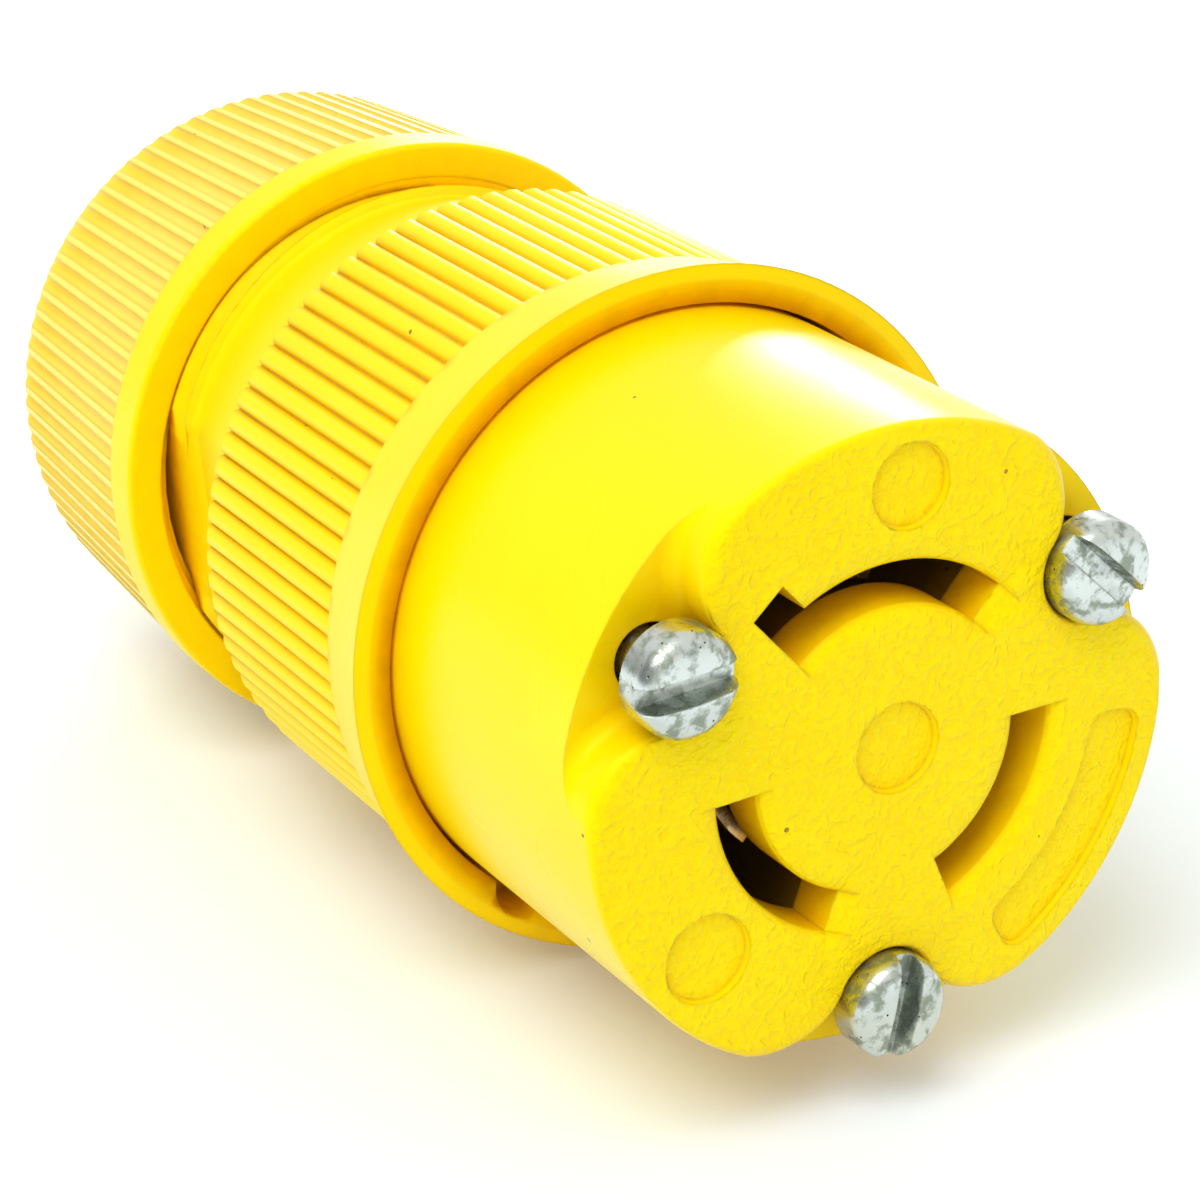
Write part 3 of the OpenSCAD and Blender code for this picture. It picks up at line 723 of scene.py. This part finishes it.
def recess_cutter(angle):
    """Prism over one screw recess, open to the outside, with its lower edge rounded."""
    reach = body_r + 8 * MM                  # well outside the blank
    nose = (SCREW_CIRCLE_R, 0)
    corner = polar(CORNER_CIRCLE_R, CORNER_ANGLE)
    meet = math.degrees(math.atan2(corner[1], corner[0] - nose[0]))
    near_side = arc(corner, LOBE_CORNER_R, CORNER_ANGLE, meet - 180, 20)
    round_nose = arc(nose, RECESS_NOSE_R, meet, 360 - meet, 24)
    far_side = [(x, -y) for x, y in reversed(near_side)]
    outside = [polar(reach, -CORNER_ANGLE), (reach * 1.2, 0), polar(reach, CORNER_ANGLE)]
    shape = bmesh.new()
    outline = near_side + round_nose[1:-1] + far_side + outside
    floor = shape.faces.new([shape.verts.new((x, y, ledge_z)) for x, y in outline])
    raised = bmesh.ops.extrude_face_region(shape, geom=[floor])["geom"]
    lifted = [v for v in raised if isinstance(v, bmesh.types.BMVert)]
    bmesh.ops.translate(shape, verts=lifted, vec=(0, 0, RECESS_DEPTH + 4 * MM))
    bmesh.ops.recalc_face_normals(shape, faces=shape.faces)
    lower = [e for e in shape.edges if level_edge(e, ledge_z)]
    bmesh.ops.bevel(shape, geom=lower, offset=HOLLOW_R, offset_type="OFFSET", segments=6, profile=0.5,
                    affect="EDGES", material=-1, clamp_overlap=False)
    return turned(shape, angle)


# %% Blank with three recesses
SCREW_ANGLES = (90, 210, 330)

blank = bmesh.new()
rod(blank, body_r, seat_z, face_z, segments=192)
front = new_piece("moulded_front", blank, yellow_face)
for angle in SCREW_ANGLES:
    carve(front, recess_cutter(angle))
count(front)

# %% [markdown]
# The rim is worn round at the corners of the lobes, less along the outer circle and least at the
# noses of the recesses. One bevel has one width, but each edge may carry a weight that scales it. So
# the weights fade smoothly from one place to the next, and a single bevel does the rest.

# %% Rim of the lobes
RIM_ROUND = 0.9 * MM                         # at the corners of the lobes
OUTER_SHARE = 0.4                            # of that rounding, along the outer circle
NOSE_SHARE = 0.3                             # and at the noses of the recesses
FADE_LENGTH = 3 * MM                         # over which the rounding grows from a nose to a lobe
FADE_FROM, FADE_ANGLE = 24, 12               # from a screw towards the middle of a lobe, in degrees


def smooth_step(value):
    """0 to 1 with a soft start and end, and held outside."""
    value = min(max(value, 0), 1)
    return value * value * (3 - 2 * value)


def rim_weight(place):
    """Share of the full rounding at a place on the rim."""
    from_screw = min((place.xy - Vector(polar(SCREW_CIRCLE_R, angle))).length for angle in SCREW_ANGLES)
    turn = math.degrees(math.atan2(place.y, place.x))
    from_recess = abs((turn - SCREW_ANGLES[0] + 60) % 120 - 60)
    outer = smooth_step((from_recess - FADE_FROM) / FADE_ANGLE)
    corner = 1 - (1 - OUTER_SHARE) * outer
    return NOSE_SHARE + (corner - NOSE_SHARE) * smooth_step((from_screw - RECESS_NOSE_R) / FADE_LENGTH)


shape = bmesh.new()
shape.from_mesh(front.data)
bmesh.ops.dissolve_limit(shape, angle_limit=math.radians(0.5), verts=shape.verts, edges=shape.edges,
                         delimit={"NORMAL"})
rim_share = shape.edges.layers.float.new("bevel_weight_edge")
for edge in shape.edges:
    if level_edge(edge, face_z):
        edge[rim_share] = rim_weight((edge.verts[0].co + edge.verts[1].co) / 2)
shape.to_mesh(front.data)
shape.free()
rounding = front.modifiers.new("rim", "BEVEL")
rounding.width = RIM_ROUND
rounding.segments = 6
rounding.limit_method = "WEIGHT"
rounding.use_clamp_overlap = False
apply_modifiers(front)
count(front)

# %% [markdown]
# The slots go through the face in rings that follow the blades. Their walls bend outwards at the
# face, so that the blades find their way, and two of them end in a ramp. A bevel can't make a lip
# that is wider than deep, so the section of the slot is drawn with its lips and spun as one cutter.

# %% Section of a slot
SLOT_INNER_R = 7.85 * MM
SLOT_OUTER_R = 10.15 * MM
LIP_DEPTH = 0.5 * MM
LIP_OUT = 1.5 * MM
LIP_IN = 1.15 * MM
FACE_THICKNESS = 3.45 * MM
LIP_STEPS = 6
PAST = 1 * MM                                # how far a cutter passes beyond a surface
cavity_z = face_z - FACE_THICKNESS


def lip_outline(deep=None):
    """Section whose walls bend outwards in quarter ellipses at the face; without a depth, the lips alone."""
    quarter = [math.radians(90 * i / LIP_STEPS) for i in range(LIP_STEPS + 1)]
    curve = [(1 - math.cos(t), face_z - LIP_DEPTH * (1 - math.sin(t))) for t in quarter]
    outer = [(SLOT_OUTER_R + LIP_OUT * out, z) for out, z in curve]
    inner = [(SLOT_INNER_R - LIP_IN * out, z) for out, z in curve]
    above = [(outer[-1][0], face_z + PAST), (inner[-1][0], face_z + PAST)]
    below = [(SLOT_INNER_R, deep), (SLOT_OUTER_R, deep)] if deep else []
    return below + outer + above + inner[::-1]


def box_between(shape, angle, r_from, r_to, side_from, side_to, z_from, z_to):
    """Adds a block that points along a radius; its sides lie that far from the radius."""
    size = Matrix.Diagonal((r_to - r_from, side_to - side_from, z_to - z_from, 1))
    middle = Matrix.Translation(((r_from + r_to) / 2, (side_from + side_to) / 2, (z_from + z_to) / 2))
    turn = Matrix.Rotation(math.radians(angle), 4, "Z")
    bmesh.ops.create_cube(shape, size=1, matrix=turn @ middle @ size)
    return shape


# %% Slots, hook notch and screw holes
SLOTS = ((-12.8, 72.0, -9, 0),               # from, to, ramp before it, ramp after it, all in degrees
         (122.1, 188.9, 0, 9),
         (232.4, 300.5, 0, 0))
RAMP_LAP = 0.3                               # degrees by which a ramp runs into its slot
CAVITY_INNER_R = 6.4 * MM
CAVITY_OUTER_R = 11.2 * MM
CAVITY_EXTRA_ANGLE = 6
HOOK_ANGLE = 72.0
HOOK_WIDTH = 2.3 * MM
HOOK_REACH_R = 12.15 * MM
HOOK_ROOM = 0.6 * MM                         # round the notch, in the cavity below it
SCREW_HOLE_R = 1.9 * MM

for start, stop, before, after in SLOTS:
    carve(front, spun(bmesh.new(), lip_outline(cavity_z - PAST), start, stop - start, 32))
    cavity = [(CAVITY_INNER_R, seat_z - PAST), (CAVITY_OUTER_R, seat_z - PAST),
              (CAVITY_OUTER_R, cavity_z), (CAVITY_INNER_R, cavity_z)]
    carve(front, spun(bmesh.new(), cavity, start - CAVITY_EXTRA_ANGLE,
                      stop - start + 2 * CAVITY_EXTRA_ANGLE, 32))
    for end, ramp_angle in ((start, before), (stop, after)):
        if ramp_angle:
            lap = math.copysign(RAMP_LAP, ramp_angle)
            carve(front, spun(bmesh.new(), lip_outline(), end - lap, ramp_angle, 8, LIP_DEPTH))
carve(front, box_between(bmesh.new(), HOOK_ANGLE, SLOT_INNER_R + PAST, HOOK_REACH_R,
                         -HOOK_WIDTH, -NEAR, cavity_z - PAST, face_z + PAST))
carve(front, box_between(bmesh.new(), HOOK_ANGLE, SLOT_INNER_R, HOOK_REACH_R + HOOK_ROOM,
                         -HOOK_WIDTH - HOOK_ROOM, HOOK_ROOM, seat_z - PAST, cavity_z - NEAR / 2))
holes = bmesh.new()
for angle in SCREW_ANGLES:
    rod(holes, SCREW_HOLE_R, seat_z - PAST, face_z, polar(SCREW_CIRCLE_R, angle), 32)
carve(front, holes)
count(front)

# %% [markdown]
# Shallow round and curved fields are sunk in the face, with a little draft so that the mould lets go
# of them. They are left bare. A round field is a cone. The curved band can't be scaled to lean its
# walls, so its outline is drawn at three heights, each wider than the last, and the three are bridged.

# %% Outline of the curved field
FIELD_DEPTH = 0.35 * MM
FIELD_DRAFT = 0.13 * MM
FIELD_CORNER = 1.0 * MM


def band_outline(inner, outer, start, stop, grow):
    """Curved band with round corners, wider all round by an amount."""
    corner = FIELD_CORNER
    out_turn = math.degrees(math.asin(corner / (outer - corner)))
    in_turn = math.degrees(math.asin(corner / (inner + corner)))
    outer_line = arc((0, 0), outer + grow, start + out_turn, stop - out_turn, 20)
    inner_line = arc((0, 0), inner - grow, stop - in_turn, start + in_turn, 20)
    far_out = arc(polar(outer - corner, stop - out_turn), corner + grow, stop - out_turn, stop + 90, 6)
    far_in = arc(polar(inner + corner, stop - in_turn), corner + grow, stop + 90, stop - in_turn + 180, 6)
    near_in = arc(polar(inner + corner, start + in_turn), corner + grow,
                  start + in_turn + 180, start + 270, 6)
    near_out = arc(polar(outer - corner, start + out_turn), corner + grow,
                   start + 270, start + out_turn + 360, 6)
    return outer_line[1:-1] + far_out + far_in + inner_line[1:-1] + near_in + near_out


# %% Fields pressed into the face
ROUND_FIELDS = ((0.5, -53.0, 2.5), (14.2, 25.5, 2.3), (13.95, 158.7, 2.5))   # place, its angle, radius
BAND_FIELD = (13.0, 16.0, 240.0, 294.0)                                     # inner, outer, from, to

for radius, angle, size in ROUND_FIELDS:
    field = bmesh.new()
    rod(field, size * MM - FIELD_DRAFT, face_z - FIELD_DEPTH, face_z + FIELD_DEPTH,
        polar(radius * MM, angle), 48, radius_to=size * MM + FIELD_DRAFT)
    carve(front, field)
inner, outer, start, stop = BAND_FIELD
band = bmesh.new()
rings = []
for grow, height in ((0, -FIELD_DEPTH), (FIELD_DRAFT, 0), (2 * FIELD_DRAFT, FIELD_DEPTH)):
    outline = band_outline(inner * MM, outer * MM, start, stop, grow)
    line = [band.verts.new((x, y, face_z + height)) for x, y in outline]
    rings.append([band.edges.new(pair) for pair in zip(line, line[1:] + line[:1])])
    if grow != FIELD_DRAFT:
        band.faces.new(line)
for lower, upper in zip(rings, rings[1:]):
    bmesh.ops.bridge_loops(band, edges=lower + upper)
carve(front, band)
shade(front)
hand_in(front, "shell", "yellow_nylon", "front_body")

# %% [markdown]
# ## Thread
#
# The nut runs on a coarse moulded thread. A thread can be a Screw modifier or a spin with a rise; the
# spin is used here, because its ends can be cut level. The solids have plain cylinders in its place,
# so the neck gets its groove by a cut, and the nut a ridge that stops flush with its front. Both
# follow one screw line, so that they stay in step when the nut turns.

# %% Screw line
THREAD_PITCH = 2.5 * MM
THREAD_ANGLE = 327.0                         # where the nut's ridge meets its front edge, in degrees
FLANK = 0.56                                 # widening of a flank per radius
THREAD_STEPS = 56                            # round one turn


def helix(shape, half_inside, r_inside, r_outside, turns, z_last):
    """Ridge on the thread's line, from some turns below up to its last height."""
    half_outside = half_inside + abs(r_outside - r_inside) * FLANK
    start_z = z_last - turns * THREAD_PITCH
    section = [(r_inside, start_z - half_inside), (r_outside, start_z - half_outside),
               (r_outside, start_z + half_outside), (r_inside, start_z + half_inside)]
    from_front = (start_z - nut_len) / THREAD_PITCH
    return spun(shape, section, THREAD_ANGLE + 360 * from_front, 360 * turns, int(THREAD_STEPS * turns),
                turns * THREAD_PITCH)


def cut_level(shape, height):
    """Cuts off what lies above a height, and closes the cut."""
    parts = [*shape.verts, *shape.edges, *shape.faces]
    cut = bmesh.ops.bisect_plane(shape, geom=parts, dist=0.0001 * MM, plane_co=(0, 0, height),
                                 plane_no=(0, 0, 1), clear_outer=True)["geom_cut"]
    bmesh.ops.contextual_create(shape, geom=[part for part in cut if isinstance(part, bmesh.types.BMEdge)])
    return shape


# %% Thread of the neck
NECK_ROOT_R = 15.9 * MM
GROOVE_HALF = 0.3 * MM                       # half width of the groove at its root
GROOVE_DEPTH = 1.4 * MM
GROOVE_EXTRA_TURNS = 1.8                     # run out of the neck at both ends
RELIEF_Z = 23.1 * MM                         # where the neck has stepped in under the shoulder

neck = nodes["housing"].copy()
neck.data = nodes["housing"].data.copy()
neck.name = "threaded_housing"
neck.data.transform(neck.matrix_world)
neck.matrix_world = Matrix.Identity(4)
bpy.context.scene.collection.objects.link(neck)
shape = bmesh.new()
shape.from_mesh(neck.data)
bmesh.ops.remove_doubles(shape, verts=shape.verts, dist=MERGE)
bmesh.ops.recalc_face_normals(shape, faces=shape.faces)
shape.to_mesh(neck.data)
shape.free()
groove_turns = (RELIEF_Z - neck_z) / THREAD_PITCH + GROOVE_EXTRA_TURNS
groove = helix(bmesh.new(), GROOVE_HALF, NECK_ROOT_R, NECK_ROOT_R + GROOVE_DEPTH, groove_turns,
               RELIEF_Z + THREAD_PITCH)
carve(neck, cut_level(groove, RELIEF_Z + 0.03 * MM))
shade(neck, 30)
hand_in(neck, "shell", "yellow_nylon", "housing")

# %% [markdown]
# The nut's ridge is a piece of its own that rides on the nut; its root lies inside the nut's wall.
# When the nut is tight, its front comes near the relief under the shoulder, which has no groove. A
# plain rod therefore lowers the ridge there.

# %% Thread of the nut
RIDGE_TIP_R = 16.1 * MM
RIDGE_HALF = 0.265 * MM
RIDGE_TURNS = 5.4
NUT_WALL_R = 17.3 * MM                       # inside the nut's wall
RELIEF_R = 16.4 * MM
FULL_RIDGE_Z = 19.7 * MM                     # above this the ridge is lower

shape = helix(bmesh.new(), RIDGE_HALF, RIDGE_TIP_R, NUT_WALL_R, RIDGE_TURNS, nut_len + THREAD_PITCH)
ridge = new_piece("nut_thread", cut_level(shape, nut_len - 0.02 * MM), yellow)
lowered = bmesh.new()
rod(lowered, RELIEF_R + 0.07 * MM, FULL_RIDGE_Z, nut_len + PAST, segments=192)
carve(ridge, lowered)
shade(ridge)
hand_in(ridge, "nut", "yellow_nylon")

# %% [markdown]
# ## Cord bushing
#
# The bushing is a rubber ring with a cone that the housing squeezes on the cord. It could get a bevel
# on its solid. A bevel of rubber looks cut, so its section is drawn again with every corner bent in a
# soft curve, and spun.

# %% Cord bushing
BUSHING_BORE_R = 6.25 * MM
BUSHING_R = 13.0 * MM
BUSHING_NOSE_R = 10.0 * MM
BUSHING_CONE_LEN = 4.0 * MM
BUSHING_SOFT = 0.6 * MM


def soft_corners(points, radius, steps=5):
    """Rounds every corner of a closed outline by an arc that starts that far from the corner."""
    soft = []
    for before, corner, after in zip(points[-1:] + points[:-1], points, points[1:] + points[:1]):
        middle = Vector(corner)
        first, last = Vector(before) - middle, Vector(after) - middle
        reach = min(radius, first.length / 2.2, last.length / 2.2)
        first, last = middle + first.normalized() * reach, middle + last.normalized() * reach
        for t in [i / steps for i in range(steps + 1)]:
            bend = first.lerp(middle, t).lerp(middle.lerp(last, t), t)
            soft.append((bend.x, bend.y))
    return soft


bushing_low, bushing_high = foot("cord_bushing"), top("cord_bushing")
profile = [(BUSHING_BORE_R, bushing_low), (BUSHING_R, bushing_low),
           (BUSHING_R, bushing_high - BUSHING_CONE_LEN), (BUSHING_NOSE_R, bushing_high),
           (BUSHING_BORE_R, bushing_high)]
bushing = new_piece("soft_bushing", spun(bmesh.new(), soft_corners(profile, BUSHING_SOFT)), rubber)
shade(bushing)
hand_in(bushing, "shell", "grey_rubber", "cord_bushing")
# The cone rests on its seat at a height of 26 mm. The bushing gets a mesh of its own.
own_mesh(bushing)

# %% [markdown]
# ## The assembly screws
#
# Each screw is turned as on a lathe: a tall head with a broad round edge and a nearly flat top, a
# shank, and a thread that is one small ridge carried round and up the shank. It could be put
# together from cylinders, but an outline that is spun gives the round edge and the crown in one go.

# %% Turned body of a screw
SCREW_HEAD_H = 2.7 * MM
SCREW_HEAD_ROUND = 0.95 * MM
SCREW_HEAD_BREAK = 0.12 * MM                 # under the head
SCREW_CROWN_R = 12 * MM
SCREW_CORE_R = 1.45 * MM
SCREW_THREAD_LEN = 14 * MM

head_top_z = top("assembly_screw_1")
head_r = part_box("assembly_screw_1")[1].x
tip_z = foot("assembly_screw_1")


def lathe(shape, outline, steps=64):
    """Turns an open line of (radius, z) points, from axis to axis, into a solid."""
    corners = [shape.verts.new((radius, 0, z)) for radius, z in outline]
    line = [shape.edges.new(pair) for pair in zip(corners, corners[1:])]
    bmesh.ops.spin(shape, geom=corners + line, cent=(0, 0, 0), axis=(0, 0, 1), dvec=(0, 0, 0),
                   angle=math.tau, steps=steps, use_merge=True)
    bmesh.ops.remove_doubles(shape, verts=shape.verts, dist=MERGE)
    return shape


def screw_outline():
    """Crown, round edge, underside, shank and tip, from the axis to the axis."""
    crown_z = head_top_z - SCREW_CROWN_R
    bend_r = head_r - SCREW_HEAD_ROUND
    bend_z = crown_z + math.sqrt((SCREW_CROWN_R - SCREW_HEAD_ROUND) ** 2 - bend_r ** 2)
    lean = math.degrees(math.atan2(bend_z - crown_z, bend_r))
    crown = [(SCREW_CROWN_R * math.sin(t), crown_z + SCREW_CROWN_R * math.cos(t))
             for t in [math.radians((90 - lean) * i / 4) for i in range(4)]]
    around = [polar(SCREW_HEAD_ROUND, lean * (1 - i / 10)) for i in range(11)]
    bend = [(bend_r + out, bend_z + up) for out, up in around]
    head_z = head_top_z - SCREW_HEAD_H
    thread_z = tip_z + SCREW_THREAD_LEN
    shank_r = SCREW_CORE_R + 0.15 * MM
    under = [(head_r, head_z + SCREW_HEAD_BREAK), (head_r - SCREW_HEAD_BREAK, head_z), (shank_r, head_z),
             (shank_r, thread_z + 0.3 * MM), (SCREW_CORE_R, thread_z), (SCREW_CORE_R, tip_z + 0.5 * MM),
             (SCREW_CORE_R - 0.4 * MM, tip_z), (0, tip_z)]
    return crown + bend + under


print(f"screw head {2 * head_r / MM:.2f} mm wide, screw {(head_top_z - tip_z) / MM:.2f} mm long")

# %% [markdown]
# The slot is milled after the turning. Its walls lean outwards a little, as a worn saw leaves them,
# and its edges are broken by a hair. The edges are found by their angle and height, not by their
# numbers, because a boolean numbers them anew.

# %% Thread and slot of a screw
SCREW_THREAD_R = 1.75 * MM
SCREW_PITCH = 0.79 * MM
THREAD_CREST = 0.05 * MM
SLOT_FLOOR_W = 1.1 * MM
SLOT_MOUTH_W = 1.55 * MM
SLOT_DEPTH = 1.3 * MM
SLOT_EDGE = 0.06 * MM


def screw_ridge():
    """The thread as one ridge round the shank, from just above the tip."""
    half, start_z, inside_r = SCREW_PITCH * 0.44, tip_z + 0.6 * MM, SCREW_CORE_R - 0.05 * MM
    section = [(inside_r, start_z - half), (SCREW_THREAD_R, start_z - THREAD_CREST),
               (SCREW_THREAD_R, start_z + THREAD_CREST), (inside_r, start_z + half)]
    turns = (SCREW_THREAD_LEN - 1.2 * MM) / SCREW_PITCH
    return spun(bmesh.new(), section, 0, 360 * turns, int(24 * turns), turns * SCREW_PITCH)


def slot_cutter(turn):
    """Block over the head's middle, wider at its mouth than at its floor."""
    shape = box_between(bmesh.new(), 0, -head_r - PAST, head_r + PAST, -SLOT_FLOOR_W / 2, SLOT_FLOOR_W / 2,
                        head_top_z - SLOT_DEPTH, head_top_z + PAST)
    mouth = SLOT_FLOOR_W + (SLOT_MOUTH_W - SLOT_FLOOR_W) * (SLOT_DEPTH + PAST) / SLOT_DEPTH
    for corner in shape.verts:
        if corner.co.z > head_top_z:
            corner.co.y = math.copysign(mouth / 2, corner.co.y)
    return turned(shape, turn)


# %% Helper for broken edges
def break_edges(piece, width, sharper_than, above):
    """Bevels the edges of a finished piece that are sharper than an angle and lie above a height."""
    shape = bmesh.new()
    shape.from_mesh(piece.data)
    bmesh.ops.dissolve_limit(shape, angle_limit=math.radians(0.3), verts=shape.verts, edges=shape.edges,
                             delimit={"NORMAL"})
    sharp = [e for e in shape.edges if e.calc_face_angle(0) > math.radians(sharper_than)
             and min(v.co.z for v in e.verts) > above]
    bmesh.ops.bevel(shape, geom=sharp, offset=width, offset_type="OFFSET", segments=2, profile=0.5,
                    affect="EDGES", material=-1, clamp_overlap=True)
    shape.to_mesh(piece.data)
    shape.free()


# %% Three screws
SCREW_SLOT_TURNS = (34, 167, 106)            # of each slot, against the radius through its screw

for number, (angle, slot_turn) in enumerate(zip(SCREW_ANGLES, SCREW_SLOT_TURNS), 1):
    screw = new_piece(f"slotted_screw_{number}", lathe(bmesh.new(), screw_outline()), zinc)
    carve(screw, screw_ridge(), "UNION")
    carve(screw, slot_cutter(slot_turn))
    break_edges(screw, SLOT_EDGE, 40, head_top_z - SLOT_DEPTH - 0.01 * MM)
    to_circle = Matrix.Translation((SCREW_CIRCLE_R, 0, 0))
    screw.data.transform(Matrix.Rotation(math.radians(angle), 4, "Z") @ to_circle)
    shade(screw)
    hand_in(screw, "shell", "zinc_steel", f"assembly_screw_{number}")

# %% [markdown]
# ## Table
#
# The connector lies on a white sheet that is brighter far away than in the shadow at its feet. Lamps
# strong enough to whiten the sheet would bleach the yellow. So the sheet has a plain pale colour and
# a faint glow, and only as a picture, for the camera and for mirrors, it glows more away from the
# object. Near the object it stays darker: a painted shadow round the one that the lamps cast. The
# sheet shows from above only.

# %% Sheet under the connector
TABLE_HALF = 0.9

sheet = bmesh.new()
bmesh.ops.create_grid(sheet, x_segments=1, y_segments=1, size=TABLE_HALF)
turn_flat = Matrix((across_table, table_up.cross(across_table), table_up)).transposed().to_4x4()
bmesh.ops.transform(sheet, matrix=Matrix.Translation(flange_contact) @ turn_flat, verts=sheet.verts)
table_mesh = bpy.data.meshes.new("table")
sheet.to_mesh(table_mesh)
sheet.free()
table = bpy.data.objects.new("table", table_mesh)
bpy.context.scene.collection.objects.link(table)
print(f"a table {2 * TABLE_HALF} m wide")


# %% White of the table
TABLE_COLOUR = (0.81, 0.87, 0.92, 1)
TABLE_GLOW = 0.09
TABLE_GLOW_FAR = 0.4                         # as a picture, away from the shadow
SHADOW_REACH = 40 * MM                       # from the flange
WHITE = (1, 1, 1, 1)


def light_or_picture(tree, light, picture):
    """One strength for the light that falls on things, another for what camera, mirrors and glass show."""
    rays = node(tree, "ShaderNodeLightPath")
    straight = maths(tree, "MAXIMUM", rays.outputs["Is Camera Ray"], rays.outputs["Is Transmission Ray"])
    seen = maths(tree, "MAXIMUM", straight, rays.outputs["Is Glossy Ray"])
    return node(tree, "ShaderNodeMix", {0: seen, 2: light, 3: picture}, data_type="FLOAT").outputs[0]


white_table, tree, place = new_material("white table")
diffuse = node(tree, "ShaderNodeBsdfDiffuse", {"Color": TABLE_COLOUR})
from_object = vector_maths(tree, "DISTANCE", place, flange_contact)
# Painted shadow: within SHADOW_REACH of the flange the picture glows little, and more further out.
picture = ramp(tree, from_object, SHADOW_REACH, 2.2 * SHADOW_REACH, TABLE_GLOW, TABLE_GLOW_FAR)
glow_strength = light_or_picture(tree, TABLE_GLOW, picture)
glow = node(tree, "ShaderNodeEmission", {"Color": WHITE, "Strength": glow_strength})
lit = node(tree, "ShaderNodeAddShader", {0: diffuse.outputs[0], 1: glow.outputs[0]})
clear = node(tree, "ShaderNodeBsdfTransparent")
behind = node(tree, "ShaderNodeNewGeometry").outputs["Backfacing"]
one_sided = node(tree, "ShaderNodeMixShader", {0: behind, 1: lit.outputs[0], 2: clear.outputs[0]})
node(tree, "ShaderNodeOutputMaterial", {"Surface": one_sided.outputs[0]})
table_mesh.materials.append(white_table)

# %% [markdown]
# ## Daylight and lamps
#
# Even daylight from all round shows the colours as they are written. A room full of lamps could give
# it; a plain world is simpler and has no noise. What the camera and the screws see of that world is
# set apart from its light: white on the far side, and dark behind the camera, so that the metal has
# something dark to reflect.

# %% World
DAYLIGHT = 0.7                               # on the object, from all round
ROOM_DARK = 0.25                             # what is seen of the room behind the camera
ROOM_WHITE = 1.0                             # and of the white backdrop on the far side


def table_direction(elevation, turn):
    """Direction by its height over the table and its turn from the face towards the camera's side."""
    turn, elevation = math.radians(turn), math.radians(elevation)
    flat = along_table * math.cos(turn) + across_table * math.sin(turn)
    return (flat * math.cos(elevation) + table_up * math.sin(elevation)).normalized()


world = bpy.data.worlds.new("studio")
bpy.context.scene.world = world
world.use_nodes = True
sky = world.node_tree
sky.nodes.clear()
direction = node(sky, "ShaderNodeTexCoord").outputs["Generated"]
far_side = vector_maths(sky, "DOT_PRODUCT", direction, table_direction(10, -90))
picture = ramp(sky, far_side, -0.85, -0.15, ROOM_DARK, ROOM_WHITE)
strength = light_or_picture(sky, DAYLIGHT, picture)
backdrop = node(sky, "ShaderNodeBackground", {"Color": WHITE, "Strength": strength})
node(sky, "ShaderNodeOutputWorld", {"Surface": backdrop.outputs[0]})
print("daylight", DAYLIGHT, "room", ROOM_DARK, "to", ROOM_WHITE)

# %% [markdown]
# One large soft lamp stands over the face, on the camera's side; it gives the forms and the shadow.
# A small one, low behind the nut, draws a bright line on the edges that would melt into the white.

# %% Lamps
def lamp(name, elevation, turn, distance, size, power):
    """A soft lamp that looks at the middle of the connector."""
    data = bpy.data.lights.new(name, "AREA")
    data.shape = "RECTANGLE"
    data.size, data.size_y = size
    data.energy = power
    made = bpy.data.objects.new(name, data)
    aim = Vector((0, 0, 0.5 * face_z))
    made.matrix_world = look(aim + table_direction(elevation, turn) * distance, aim, table_up)
    made.visible_camera = False
    bpy.context.scene.collection.objects.link(made)
    print(f"{name} lamp: {power} W from {distance} m")


lamp("key", 56, 58, 0.7, (0.45, 0.45), 3.0)
lamp("rim", 14, -146, 0.6, (0.16, 0.12), 0.8)

# %% [markdown]
# ## Finish
#
# The Standard view shows colours as they are written, without the look of a film.

# %% Colour view
scene = bpy.context.scene
scene.view_settings.view_transform = "Standard"
